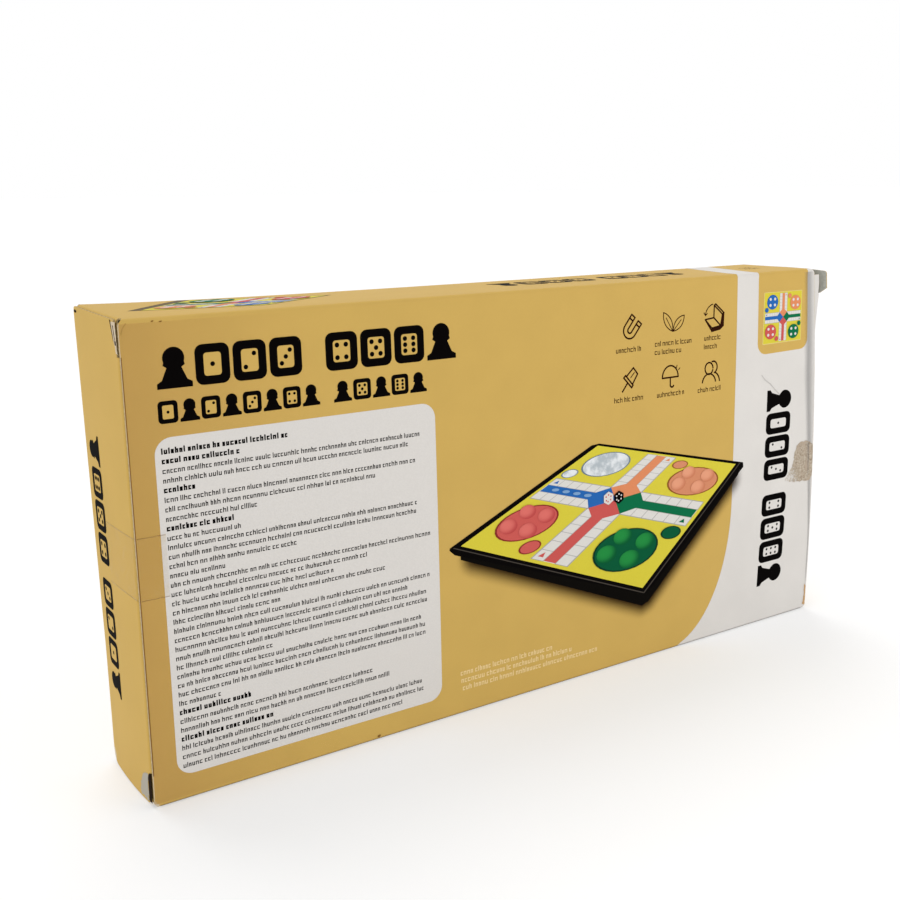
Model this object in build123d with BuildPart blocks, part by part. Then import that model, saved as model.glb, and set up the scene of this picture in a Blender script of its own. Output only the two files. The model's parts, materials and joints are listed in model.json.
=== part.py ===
"""Tuck-end carton with a folding magnetic ludo set inside.

The carton stands on its narrow bottom panel. +X runs along the front, +Y to the back, +Z up, and
the origin is the middle of the footprint. All sizes are in millimetres.
"""

import os
from math import radians, tan

from build123d import *

os.makedirs("parts", exist_ok=True)

# Carton, over the outside of the board
LENGTH = 256.0
DEPTH = 36.0
HEIGHT = 132.0
BOARD = 0.5  # thickness of the paperboard
CREASE_R = 1.2  # outside radius of the four long creases

# Closures: end panel, tuck tongue and two dust flaps at each end
TONGUE_LENGTH = 14.0
TONGUE_CORNER_R = 9.0
TONGUE_SET_BACK = 0.85  # from the front panel's inner face, which the tongue needs to swing free
SLIT_LENGTH = 9.0  # slit lock at each end of the tongue's crease
SLIT_WIDTH = 0.8
DUST_LENGTH = 26.0
DUST_HINGE_SIDE_ANGLE = 28.0  # taper beside the closure's hinge
DUST_TUCK_SIDE_ANGLE = 6.0  # taper beside the tongue
DUST_TUCK_SIDE_GAP = 0.7  # behind the tongue, at the root
DUST_SHOULDER = 1.0  # step in from the root, a slit's length down
DUST_CORNER_R = 4.0
SLIDE_GAP = 0.1  # between sheets that pass each other
HINGE_GAP = 0.04  # between the two sides of a crease that turns
GLUE_FLAP_WIDTH = 14.0
GLUE_FLAP_END_ANGLE = 75.0  # of its sloping ends, to the crease

# Seal tape over the left closure's tucked edge
TAPE_THICKNESS = 0.06
TAPE_WIDTH = 17.0
TAPE_HEIGHT = 67.0  # middle of the tape above the floor
TAPE_ON_FRONT = 8.0
TAPE_ON_END = 22.0

# Folding case, closed: two trays, mouth to mouth
CASE_LENGTH = 250.0
CASE_WIDTH = 125.0
HALF_THICKNESS = 16.0
RIM_THICKNESS = 4.0
RIM_OVERHANG = 1.5
CASE_WALL = 2.0
CASE_FLOOR = 1.3
CASE_CORNER_R = 3.0
RIB_HEIGHT = 1.0
RIB_THICKNESS = 1.2
RIM_BEVEL = 1.0
NOTCH_R = 20.0  # thumb notch in the mouth's lower wall
NOTCH_DEPTH = 3.0

# Playing face: a steel plate with a printed sheet over it, let into each half
FIELD_MARGIN = 5.0
FIELD_CORNER_R = 1.0
FIELD_PLAY = 0.2  # round the plate and the sheet in their seat
STEEL_THICKNESS = 0.45
SHEET_THICKNESS = 0.35
FACE_RECESS = 0.9

# Case hinge, along the top edge of the closed case
KNUCKLE_R = 1.4
PIN_R = 0.7
PIN_CLEARANCE = 0.05
KNUCKLE_LENGTH = 6.0
HINGE_SPACING = 160.0

# Case catch: pairs of magnets in bosses by the lower edge
CATCH_SPACING = 120.0
CATCH_BOSS_SIDE = 8.4
CATCH_MAGNET_SIDE = 6.0
CATCH_MAGNET_THICKNESS = 2.0

# Tokens, dice and the formed tray that holds them
TOKEN_R = 7.0
TOKEN_BASE = 2.6
TOKEN_HEIGHT = 9.4
GRIP_R = 5.2
GRIP_SIDES = 12
GRIP_SHOULDER = 7.0
GRIP_DRAFT = 10.0
GRIP_CROWN_DRAFT = 42.0
TOKEN_MAGNET_SIDE = 7.0
TOKEN_MAGNET_THICKNESS = 1.6
DIE_SIZE = 11.0
DIE_BEVEL = 0.9
PIP_R = 1.0
PIP_SIDES = 8
PIP_DEPTH = 0.3
TRAY_SKIN = 0.7
TRAY_DEPTH = 9.8
TRAY_EDGE_GAP = 1.0
POCKET_DRAFT = 4.0
POCKET_PLAY = 0.4
TOKEN_PITCH_X = 58.0
TOKEN_PITCH_Z = 25.0
TRAY_LIFT = CATCH_BOSS_SIDE / 2  # the tray sits this far above the middle, clear of the catch bosses

# Places worked out from the sizes above
HALF_DEPTH = DEPTH / 2
MID_HEIGHT = HEIGHT / 2
CLOSURE_INNER_X = LENGTH / 2 - BOARD
DUST_OUTER_X = CLOSURE_INNER_X - SLIDE_GAP
DUST_INNER_X = DUST_OUTER_X - BOARD
HINGE_Y = HALF_DEPTH - BOARD
TONGUE_OUTER_Y = HALF_DEPTH - BOARD - TONGUE_SET_BACK
TONGUE_INNER_Y = TONGUE_OUTER_Y - BOARD
FLAT_HEIGHT = HEIGHT - 2 * CREASE_R
CLOSURE_EDGE = 0.3  # the closures stop this far short of the top and bottom faces

CASE_BOTTOM = BOARD
CASE_MID_Z = CASE_BOTTOM + CASE_WIDTH / 2
CASE_TOP = CASE_BOTTOM + CASE_WIDTH
BODY_LENGTH = CASE_LENGTH - 2 * RIM_OVERHANG
BODY_WIDTH = CASE_WIDTH - 2 * RIM_OVERHANG
HOLLOW_LENGTH = BODY_LENGTH - 2 * CASE_WALL
HOLLOW_WIDTH = BODY_WIDTH - 2 * CASE_WALL
HOLLOW_FLOOR = HALF_THICKNESS - FACE_RECESS - CASE_FLOOR
FIELD_LENGTH = CASE_LENGTH - 2 * FIELD_MARGIN
FIELD_WIDTH = CASE_WIDTH - 2 * FIELD_MARGIN
PLATE_LENGTH = FIELD_LENGTH - 2 * FIELD_PLAY
PLATE_WIDTH = FIELD_WIDTH - 2 * FIELD_PLAY
CATCH_Z = CASE_BOTTOM + RIM_OVERHANG + CASE_WALL + CATCH_BOSS_SIDE / 2


def save(piece, name):
    """Label one finished piece and write it as its own STEP file."""
    piece.label = name
    export_step(piece, f"parts/{name}.step")


def save_both_ends(piece, name):
    """Write a piece made for the left end, and its mirror image for the right end."""
    save(piece, f"left_{name}")
    with BuildPart() as other_end:
        mirror(piece, about=Plane.YZ)
    save(other_end.part, f"right_{name}")


# ---------------------------------------------------------------- carton sleeve

with BuildPart() as front_panel:
    # The front panel's ends are plain cut edges, which the tuck tongues pass behind.
    with BuildSketch(Plane.XZ.offset(HALF_DEPTH)):
        with Locations((0, MID_HEIGHT)):
            RectangleRounded(LENGTH, FLAT_HEIGHT, BOARD)
    extrude(amount=-BOARD)
save(front_panel.part, "front_panel")

with BuildPart() as back_panel:
    # The back panel hangs over the glue flap, down to the floor side, and both its ends are scored
    # on the outer face, so that a closure can also fold back past flat.
    with BuildSketch(Plane.XY.offset(CLOSURE_EDGE)):
        with BuildLine():
            Polyline(
                (-CLOSURE_INNER_X, HINGE_Y),
                (CLOSURE_INNER_X, HINGE_Y),
                (CLOSURE_INNER_X - BOARD, HALF_DEPTH),
                (-CLOSURE_INNER_X + BOARD, HALF_DEPTH),
                close=True,
            )
        make_face()
    extrude(amount=HEIGHT - CREASE_R - CLOSURE_EDGE)
save(back_panel.part, "back_panel")

with BuildPart() as top_panel:
    # The creases to the front and the back are rounded, and belong to the narrow panel.
    with BuildSketch(Plane.YZ.offset(-DUST_INNER_X)):
        with Locations((0, MID_HEIGHT)):
            RectangleRounded(DEPTH, HEIGHT, CREASE_R)
            RectangleRounded(
                DEPTH - 2 * BOARD, HEIGHT - 2 * BOARD, CREASE_R - BOARD, mode=Mode.SUBTRACT
            )
        with Locations((0, HEIGHT - CREASE_R / 2)):
            Rectangle(DEPTH, CREASE_R, mode=Mode.INTERSECT)
    extrude(amount=2 * DUST_INNER_X)
save(top_panel.part, "top_panel")

with BuildPart() as bottom_panel:
    # The rear crease lies one board inside the back panel, because the glue flap continues it.
    with BuildSketch(Plane.YZ.offset(-DUST_INNER_X)):
        with Locations((-BOARD / 2, MID_HEIGHT)):
            RectangleRounded(DEPTH - BOARD, HEIGHT, CREASE_R)
            RectangleRounded(
                DEPTH - 3 * BOARD, HEIGHT - 2 * BOARD, CREASE_R - BOARD, mode=Mode.SUBTRACT
            )
        with Locations((0, CREASE_R / 2)):
            Rectangle(DEPTH, CREASE_R, mode=Mode.INTERSECT)
    extrude(amount=2 * DUST_INNER_X)
save(bottom_panel.part, "bottom_panel")

with BuildPart() as glue_flap:
    # A tapered strip, bonded to the inside of the back panel.
    with BuildSketch(Plane.XZ.offset(-HINGE_Y)):
        with Locations((0, CREASE_R + GLUE_FLAP_WIDTH / 2)):
            Trapezoid(2 * DUST_INNER_X, GLUE_FLAP_WIDTH, GLUE_FLAP_END_ANGLE)
    extrude(amount=BOARD)
save(glue_flap.part, "glue_flap")

# ---------------------------------------------------------------- carton closures

with BuildPart() as closure:
    # Profile seen from above: the root is scored like the back panel's end, and the tongue's crease
    # is the square end at the front.
    with BuildSketch(Plane.XY.offset(CLOSURE_EDGE)):
        with BuildLine():
            Polyline(
                (-CLOSURE_INNER_X, HINGE_Y - HINGE_GAP),
                (-LENGTH / 2, HINGE_Y - HINGE_GAP - BOARD),
                (-LENGTH / 2, -TONGUE_INNER_Y),
                (-CLOSURE_INNER_X, -TONGUE_INNER_Y),
                close=True,
            )
        make_face()
    extrude(amount=HEIGHT - 2 * CLOSURE_EDGE)
    # Past the slits the panel's cut edge stands out to the front of the tongue.
    with BuildSketch(Plane.YZ.offset(-LENGTH / 2)):
        for z in (CLOSURE_EDGE + SLIT_LENGTH / 2, HEIGHT - CLOSURE_EDGE - SLIT_LENGTH / 2):
            with Locations((-TONGUE_INNER_Y - BOARD / 2, z)):
                Rectangle(BOARD, SLIT_LENGTH)
    extrude(amount=BOARD)
    # The root's corners are cut away, where the closure's crease meets the dust flaps' creases.
    with BuildSketch(Plane.YZ.offset(-LENGTH / 2)):
        for z in (CLOSURE_EDGE, HEIGHT - CLOSURE_EDGE):
            with Locations(Location((HINGE_Y, z), 45)):
                Rectangle(2 * CREASE_R, 2 * CREASE_R)
    extrude(amount=BOARD, mode=Mode.SUBTRACT)
save_both_ends(closure.part, "closure_panel")

with BuildPart() as tongue:
    tongue_height = HEIGHT - 4 * CREASE_R
    tongue_tip_x = -CLOSURE_INNER_X + TONGUE_LENGTH
    tongue_root_x = -CLOSURE_INNER_X + HINGE_GAP
    with BuildSketch(Plane.XZ.offset(TONGUE_OUTER_Y)) as tongue_outline:
        with Locations(((tongue_root_x + tongue_tip_x) / 2, MID_HEIGHT)):
            Rectangle(tongue_tip_x - tongue_root_x, tongue_height)
        fillet(tongue_outline.vertices().group_by(Axis.X)[-1], TONGUE_CORNER_R)
        for z in (MID_HEIGHT - tongue_height / 2, MID_HEIGHT + tongue_height / 2):
            with Locations((tongue_root_x, z)):
                SlotOverall(2 * SLIT_LENGTH, 2 * SLIT_WIDTH, 90, mode=Mode.SUBTRACT)
    extrude(amount=-BOARD)
save_both_ends(tongue.part, "tuck_tongue")

with BuildPart() as dust_flap:
    # Hangs from the top panel. The hinge-side taper lets the closure lead it out and in, and the
    # shoulder and the slight taper at the front let the tongue pass.
    root_z = HEIGHT - BOARD - HINGE_GAP
    tip_z = root_z - DUST_LENGTH
    shoulder_z = root_z - SLIT_LENGTH
    front_y = -TONGUE_INNER_Y + DUST_TUCK_SIDE_GAP
    back_y = HINGE_Y - CREASE_R
    shoulder_y = front_y + DUST_SHOULDER
    front_tip_y = shoulder_y + (DUST_LENGTH - SLIT_LENGTH) * tan(radians(DUST_TUCK_SIDE_ANGLE))
    back_tip_y = back_y - DUST_LENGTH * tan(radians(DUST_HINGE_SIDE_ANGLE))
    with BuildSketch(Plane.YZ.offset(-DUST_OUTER_X)) as dust_outline:
        with BuildLine():
            Polyline(
                (front_y, root_z),
                (back_y, root_z),
                (back_tip_y, tip_z),
                (front_tip_y, tip_z),
                (shoulder_y, shoulder_z),
                (front_y, shoulder_z + DUST_SHOULDER),
                close=True,
            )
        make_face()
        fillet(dust_outline.vertices().group_by(Axis.Y)[0], DUST_CORNER_R)
    extrude(amount=BOARD)
save_both_ends(dust_flap.part, "dust_flap_top")

with BuildPart() as lower_dust_flap:
    mirror(dust_flap.part, about=Plane.XY.offset(MID_HEIGHT))
save_both_ends(lower_dust_flap.part, "dust_flap_bottom")

with BuildPart() as seal_tape:
    # An L of clear film, from the left closure round the corner to the front panel.
    tape_x = -LENGTH / 2 - HINGE_GAP
    tape_y = -HALF_DEPTH - HINGE_GAP
    with BuildSketch(Plane.XY.offset(TAPE_HEIGHT - TAPE_WIDTH / 2)):
        with BuildLine():
            Polyline(
                (tape_x, tape_y + TAPE_ON_END),
                (tape_x, tape_y),
                (tape_x + TAPE_ON_FRONT, tape_y),
                (tape_x + TAPE_ON_FRONT, tape_y - TAPE_THICKNESS),
                (tape_x - TAPE_THICKNESS, tape_y - TAPE_THICKNESS),
                (tape_x - TAPE_THICKNESS, tape_y + TAPE_ON_END),
                close=True,
            )
        make_face()
    extrude(amount=TAPE_WIDTH)
save(seal_tape.part, "left_seal_tape")

# ---------------------------------------------------------------- folding case


def knuckle_offsets(outer):
    """Starts of the knuckles of one hinge, counted from the hinge's middle."""
    gap = 2 * SLIDE_GAP
    if outer:
        return (-1.5 * KNUCKLE_LENGTH - gap, 0.5 * KNUCKLE_LENGTH + gap)
    return (-0.5 * KNUCKLE_LENGTH,)


def case_half(outer_knuckles):
    """One tray of the case, made as the front half: playing face at -Y, mouth at Y = 0."""
    with BuildPart() as half:
        # Overhanging rim, bevelled round the playing face.
        with BuildSketch(Plane.XZ.offset(HALF_THICKNESS)):
            with Locations((0, CASE_MID_Z)):
                RectangleRounded(CASE_LENGTH, CASE_WIDTH, CASE_CORNER_R)
        extrude(amount=-RIM_THICKNESS)
        chamfer(half.faces().sort_by(Axis.Y)[0].edges(), RIM_BEVEL)
        # Side walls, set in under the rim.
        with BuildSketch(Plane.XZ):
            with Locations((0, CASE_MID_Z)):
                RectangleRounded(BODY_LENGTH, BODY_WIDTH, CASE_CORNER_R - RIM_OVERHANG / 2)
        extrude(amount=HALF_THICKNESS - RIM_THICKNESS)
        with BuildSketch(Plane.XZ):
            with Locations((0, CASE_MID_Z)):
                RectangleRounded(HOLLOW_LENGTH, HOLLOW_WIDTH, CASE_CORNER_R - RIM_OVERHANG / 2)
        extrude(amount=HOLLOW_FLOOR, mode=Mode.SUBTRACT)
        # Stiffening ribs across the floor, and bosses for the catch magnets.
        with BuildSketch(Plane.XZ.offset(HOLLOW_FLOOR)):
            with Locations((0, CASE_MID_Z)):
                with GridLocations(2 * TOKEN_PITCH_X, 0, 2, 1):
                    Rectangle(RIB_THICKNESS, HOLLOW_WIDTH)
                Rectangle(HOLLOW_LENGTH, RIB_THICKNESS)
        extrude(amount=-RIB_HEIGHT)
        with BuildSketch(Plane.XZ):
            with Locations((-CATCH_SPACING / 2, CATCH_Z), (CATCH_SPACING / 2, CATCH_Z)):
                Rectangle(CATCH_BOSS_SIDE, CATCH_BOSS_SIDE)
        extrude(amount=HOLLOW_FLOOR)
        with BuildSketch(Plane.XZ):
            with Locations((-CATCH_SPACING / 2, CATCH_Z), (CATCH_SPACING / 2, CATCH_Z)):
                Rectangle(CATCH_MAGNET_SIDE, CATCH_MAGNET_SIDE)
        extrude(amount=CATCH_MAGNET_THICKNESS, mode=Mode.SUBTRACT)
        # Shallow seat for the steel plate and the printed sheet.
        with BuildSketch(Plane.XZ.offset(HALF_THICKNESS)):
            with Locations((0, CASE_MID_Z)):
                RectangleRounded(FIELD_LENGTH, FIELD_WIDTH, FIELD_CORNER_R)
        extrude(amount=-FACE_RECESS, mode=Mode.SUBTRACT)
        # Thumb notch in the mouth's lower wall.
        with BuildSketch(Plane.XY.offset(CASE_BOTTOM)):
            with Locations((0, NOTCH_R - NOTCH_DEPTH)):
                Circle(NOTCH_R)
        extrude(amount=RIM_OVERHANG + CASE_WALL + SLIDE_GAP, mode=Mode.SUBTRACT)
        # Hinge knuckles: a barrel on the fold line, on an arm that runs up the wall.
        for side in (-1, 1):
            for start in knuckle_offsets(outer_knuckles):
                with BuildSketch(Plane.YZ.offset(side * HINGE_SPACING / 2 + start)):
                    with Locations((0, CASE_TOP)):
                        Circle(KNUCKLE_R)
                        with Locations((-KNUCKLE_R / 2 - SLIDE_GAP / 2, -KNUCKLE_R)):
                            Rectangle(KNUCKLE_R - SLIDE_GAP, 2 * KNUCKLE_R)
                        Circle(PIN_R + PIN_CLEARANCE, mode=Mode.SUBTRACT)
                extrude(amount=KNUCKLE_LENGTH)
    return half.part


def turn_to_back(piece):
    """Mirror a front-half piece to the back half of the case."""
    with BuildPart() as back:
        mirror(piece, about=Plane.XZ)
    return back.part


save(case_half(outer_knuckles=True), "case_half_front")
save(turn_to_back(case_half(outer_knuckles=False)), "case_half_back")

with BuildPart() as hinge_pins:
    pin_length = 3 * KNUCKLE_LENGTH + 4 * SLIDE_GAP
    for side in (-1, 1):
        pin_start = side * HINGE_SPACING / 2 - pin_length / 2
        with BuildSketch(Plane.YZ.offset(pin_start)):
            with Locations((0, CASE_TOP)):
                Circle(PIN_R)
        extrude(amount=pin_length)
save(hinge_pins.part, "hinge_pins")

with BuildPart() as catch_magnets:
    with BuildSketch(Plane.XZ.offset(SLIDE_GAP)):
        with Locations((-CATCH_SPACING / 2, CATCH_Z), (CATCH_SPACING / 2, CATCH_Z)):
            Rectangle(CATCH_MAGNET_SIDE - HINGE_GAP, CATCH_MAGNET_SIDE - HINGE_GAP)
    extrude(amount=CATCH_MAGNET_THICKNESS - SLIDE_GAP)
    mirror(about=Plane.XZ)
save(catch_magnets.part, "catch_magnets")

with BuildPart() as steel_plate:
    plate_face = HALF_THICKNESS - FACE_RECESS
    with BuildSketch(Plane.XZ.offset(plate_face)):
        with Locations((0, CASE_MID_Z)):
            RectangleRounded(PLATE_LENGTH, PLATE_WIDTH, FIELD_CORNER_R)
    extrude(amount=STEEL_THICKNESS)
save(steel_plate.part, "steel_plate_front")
save(turn_to_back(steel_plate.part), "steel_plate_back")

with BuildPart() as board_sheet:
    with BuildSketch(Plane.XZ.offset(plate_face + STEEL_THICKNESS)):
        with Locations((0, CASE_MID_Z)):
            RectangleRounded(PLATE_LENGTH, PLATE_WIDTH, FIELD_CORNER_R)
    extrude(amount=SHEET_THICKNESS)
save(board_sheet.part, "board_sheet_front")
save(turn_to_back(board_sheet.part), "board_sheet_back")

# ---------------------------------------------------------------- tray, tokens and dice

TRAY_BACK_Y = HOLLOW_FLOOR - RIB_HEIGHT  # the tray's pockets stand on the half's ribs
POCKET_FLOOR_Y = TRAY_BACK_Y - TRAY_SKIN
FLANGE_Y = TRAY_BACK_Y - TRAY_DEPTH
COLOURS = ("blue", "yellow", "red", "green")
COLUMNS = [(i - 1.5) * TOKEN_PITCH_X for i in range(4)]


def token_places(colour):
    """The four pocket centres of one colour's row, in X and Z."""
    row_z = CASE_MID_Z + TRAY_LIFT + (1.5 - COLOURS.index(colour)) * TOKEN_PITCH_Z
    return [(x, row_z) for x in COLUMNS]


ALL_TOKEN_PLACES = [place for colour in COLOURS for place in token_places(colour)]
DIE_PLACES = [(0, CASE_MID_Z + TRAY_LIFT + dz) for dz in (-TOKEN_PITCH_Z, TOKEN_PITCH_Z)]
POCKET_DEPTH = TRAY_DEPTH - TRAY_SKIN


def pocket_sketch(y, side):
    """Squares of one size over every token and die, in a plane at y that faces the front."""
    with BuildSketch(Plane.XZ.offset(-y)) as squares:
        with Locations(*ALL_TOKEN_PLACES, *DIE_PLACES):
            Rectangle(side, side)
    return squares.sketch


with BuildPart() as piece_tray:
    # Thin formed sheet: a flange, with drafted pockets that go back to the half's ribs.
    pocket_side = 2 * (TOKEN_R + POCKET_PLAY)
    with BuildSketch(Plane.XZ.offset(-FLANGE_Y)):
        with Locations((0, CASE_MID_Z + TRAY_LIFT)):
            RectangleRounded(
                HOLLOW_LENGTH - 2 * TRAY_EDGE_GAP,
                HOLLOW_WIDTH - 2 * TRAY_EDGE_GAP - 2 * TRAY_LIFT,
                CASE_CORNER_R,
            )
    extrude(amount=-TRAY_SKIN)
    extrude(
        pocket_sketch(TRAY_BACK_Y, pocket_side + 2 * TRAY_SKIN),
        amount=POCKET_DEPTH,
        taper=-POCKET_DRAFT,
    )
    extrude(
        pocket_sketch(POCKET_FLOOR_Y, pocket_side),
        amount=POCKET_DEPTH,
        taper=-POCKET_DRAFT,
        mode=Mode.SUBTRACT,
    )
save(piece_tray.part, "piece_tray")

with BuildPart() as token:
    # A round base, and a domed grip in two drafted steps. A square seat below takes the magnet.
    Cylinder(TOKEN_R, TOKEN_BASE, align=(Align.CENTER, Align.CENTER, Align.MIN))
    with BuildSketch(Plane.XY.offset(TOKEN_BASE)):
        RegularPolygon(GRIP_R, GRIP_SIDES)
    extrude(amount=GRIP_SHOULDER - TOKEN_BASE, taper=GRIP_DRAFT)
    extrude(
        token.faces().sort_by(Axis.Z)[-1], amount=TOKEN_HEIGHT - GRIP_SHOULDER, taper=GRIP_CROWN_DRAFT
    )
    with BuildSketch():
        Rectangle(TOKEN_MAGNET_SIDE, TOKEN_MAGNET_SIDE)
    extrude(amount=TOKEN_MAGNET_THICKNESS, mode=Mode.SUBTRACT)

with BuildPart() as token_magnet:
    # Cut square from magnetic strip.
    with BuildSketch():
        Rectangle(TOKEN_MAGNET_SIDE - HINGE_GAP, TOKEN_MAGNET_SIDE - HINGE_GAP)
    extrude(amount=TOKEN_MAGNET_THICKNESS)


def set_out(piece, places):
    """Copies of an upright piece, laid with its top to -Y on the pocket floors at the places."""
    return Compound(
        children=[Location((x, POCKET_FLOOR_Y, z), (90, 0, 0)) * piece for x, z in places]
    )


for colour in COLOURS:
    save(set_out(token.part, token_places(colour)), f"tokens_{colour}")
save(set_out(token_magnet.part, ALL_TOKEN_PLACES), "token_magnets")

# Pip places on a die face, in steps of a quarter of its side
PIPS = {
    1: [(0, 0)],
    2: [(-1, -1), (1, 1)],
    3: [(-1, -1), (0, 0), (1, 1)],
    4: [(-1, -1), (-1, 1), (1, -1), (1, 1)],
    5: [(-1, -1), (-1, 1), (0, 0), (1, -1), (1, 1)],
    6: [(-1, -1), (-1, 0), (-1, 1), (1, -1), (1, 0), (1, 1)],
}
# Opposite faces add up to seven.
FACE_OF_VALUE = {
    1: Plane.XY,
    6: Plane.XY.reverse(),
    2: Plane.XZ,
    5: Plane.XZ.reverse(),
    3: Plane.YZ,
    4: Plane.YZ.reverse(),
}

with BuildPart() as die:
    Box(DIE_SIZE, DIE_SIZE, DIE_SIZE)
    chamfer(die.edges(), DIE_BEVEL)
    for value, face_plane in FACE_OF_VALUE.items():
        with BuildSketch(face_plane.offset(DIE_SIZE / 2)):
            with Locations(*[(DIE_SIZE / 4 * u, DIE_SIZE / 4 * v) for u, v in PIPS[value]]):
                RegularPolygon(PIP_R, PIP_SIDES)
        extrude(amount=-PIP_DEPTH, mode=Mode.SUBTRACT)

for (x, z), name in zip(DIE_PLACES, ("die_white", "die_black")):
    save(Pos(x, POCKET_FLOOR_Y - DIE_SIZE / 2, z) * die.part, name)
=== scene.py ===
"""Carton of a folding magnetic ludo set, dressed over its CAD frame: printed board, closures, seal tape,
wear and painted shade, the set inside, and a plain studio.

Lengths are millimetres in the row's frame (x along the carton, y towards its back, z up). They become
metres in mesh_object().
"""

import json
import math
import random

import bmesh
import bpy
from mathutils import Matrix, Vector
from mathutils.geometry import delaunay_2d_cdt, interpolate_bezier


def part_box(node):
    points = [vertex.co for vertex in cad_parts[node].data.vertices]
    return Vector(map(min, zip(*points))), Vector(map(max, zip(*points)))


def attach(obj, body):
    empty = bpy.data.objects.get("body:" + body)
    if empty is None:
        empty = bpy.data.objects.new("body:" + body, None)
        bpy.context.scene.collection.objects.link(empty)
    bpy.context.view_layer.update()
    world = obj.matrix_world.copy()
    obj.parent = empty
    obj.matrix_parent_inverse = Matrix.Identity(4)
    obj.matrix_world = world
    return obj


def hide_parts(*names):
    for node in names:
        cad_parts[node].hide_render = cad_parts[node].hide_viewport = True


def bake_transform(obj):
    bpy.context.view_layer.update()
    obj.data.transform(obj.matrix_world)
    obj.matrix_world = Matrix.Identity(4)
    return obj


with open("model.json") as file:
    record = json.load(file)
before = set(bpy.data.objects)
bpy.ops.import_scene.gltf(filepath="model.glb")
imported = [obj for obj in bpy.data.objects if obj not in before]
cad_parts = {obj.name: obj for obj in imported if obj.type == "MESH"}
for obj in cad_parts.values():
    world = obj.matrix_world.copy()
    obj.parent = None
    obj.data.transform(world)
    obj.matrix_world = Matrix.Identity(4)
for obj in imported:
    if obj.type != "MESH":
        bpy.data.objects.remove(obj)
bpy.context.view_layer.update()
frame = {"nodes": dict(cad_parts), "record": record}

MM = 0.001


def box_mm(node):
    """Lowest and highest corner of a CAD node, in millimetres."""
    return [[value / MM for value in corner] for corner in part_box(node)]


# -------- sizes, from the CAD nodes

front_low, front_high = box_mm("front_panel")
END_X = front_high[0]
FRONT_Y = front_low[1]
BOARD = front_high[1] - front_low[1]
CREASE_R = front_low[2]  # the front panel's flat starts where the crease ends
BACK_Y = box_mm("back_panel")[1][1]
TOP_Z = box_mm("top_panel")[1][2]
MID_Z = TOP_Z / 2
CLOSURE_BOTTOM = box_mm("left_closure_panel")[0][2]
CLOSURE_TOP = TOP_Z - CLOSURE_BOTTOM
tongue_low, tongue_high = box_mm("left_tuck_tongue")
TONGUE_Y = tongue_low[1]
dust_low, dust_high = box_mm("left_dust_flap_top")
DUST_X = -dust_low[0]
GLUE_FLAP_Y = box_mm("glue_flap")[1][1]
GLUE_FLAP_TOP = box_mm("glue_flap")[1][2]
tape_low, tape_high = box_mm("left_seal_tape")

FOLD_R = 1.0  # outside radius of the creases at the ends
SLIT_LENGTH = 9.0

# -------- camera

FRAME_PIXELS = 900
FOCAL_PIXELS = 1188.9
PICTURE_CENTRE = (530, 415)  # where the optical axis meets the photograph, from its top left
CAMERA_PLACE = Vector((-215.5, -316.8, 163.3))
CAMERA_FORWARD = Vector((0.5697, 0.7998, -0.1890)).normalized()
CAMERA_UP = Vector((0.1198, 0.1467, 0.9819))

camera_data = bpy.data.cameras.new("camera")
camera_data.sensor_width = 36.0
camera_data.lens = FOCAL_PIXELS / FRAME_PIXELS * camera_data.sensor_width
camera_data.shift_x = (FRAME_PIXELS / 2 - PICTURE_CENTRE[0]) / FRAME_PIXELS
camera_data.shift_y = (PICTURE_CENTRE[1] - FRAME_PIXELS / 2) / FRAME_PIXELS
camera_data.clip_start = 0.01
camera = bpy.data.objects.new("camera", camera_data)
bpy.context.collection.objects.link(camera)
camera_right = CAMERA_FORWARD.cross(CAMERA_UP).normalized()
camera_turn = Matrix((camera_right, camera_right.cross(CAMERA_FORWARD), -CAMERA_FORWARD))
camera.matrix_world = Matrix.Translation(CAMERA_PLACE * MM) @ camera_turn.transposed().to_4x4()
bpy.context.scene.camera = camera

# -------- material helpers


def srgb(red, green, blue):
    """A colour picked as 0 to 255 screen values, as Blender's linear RGBA."""

    def linear(value):
        value /= 255
        return value / 12.92 if value <= 0.04045 else ((value + 0.055) / 1.055) ** 2.4

    return (linear(red), linear(green), linear(blue), 1.0)


def tint(colour, factor):
    return tuple(min(1.0, channel * factor) for channel in colour[:3]) + (1.0,)


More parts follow.
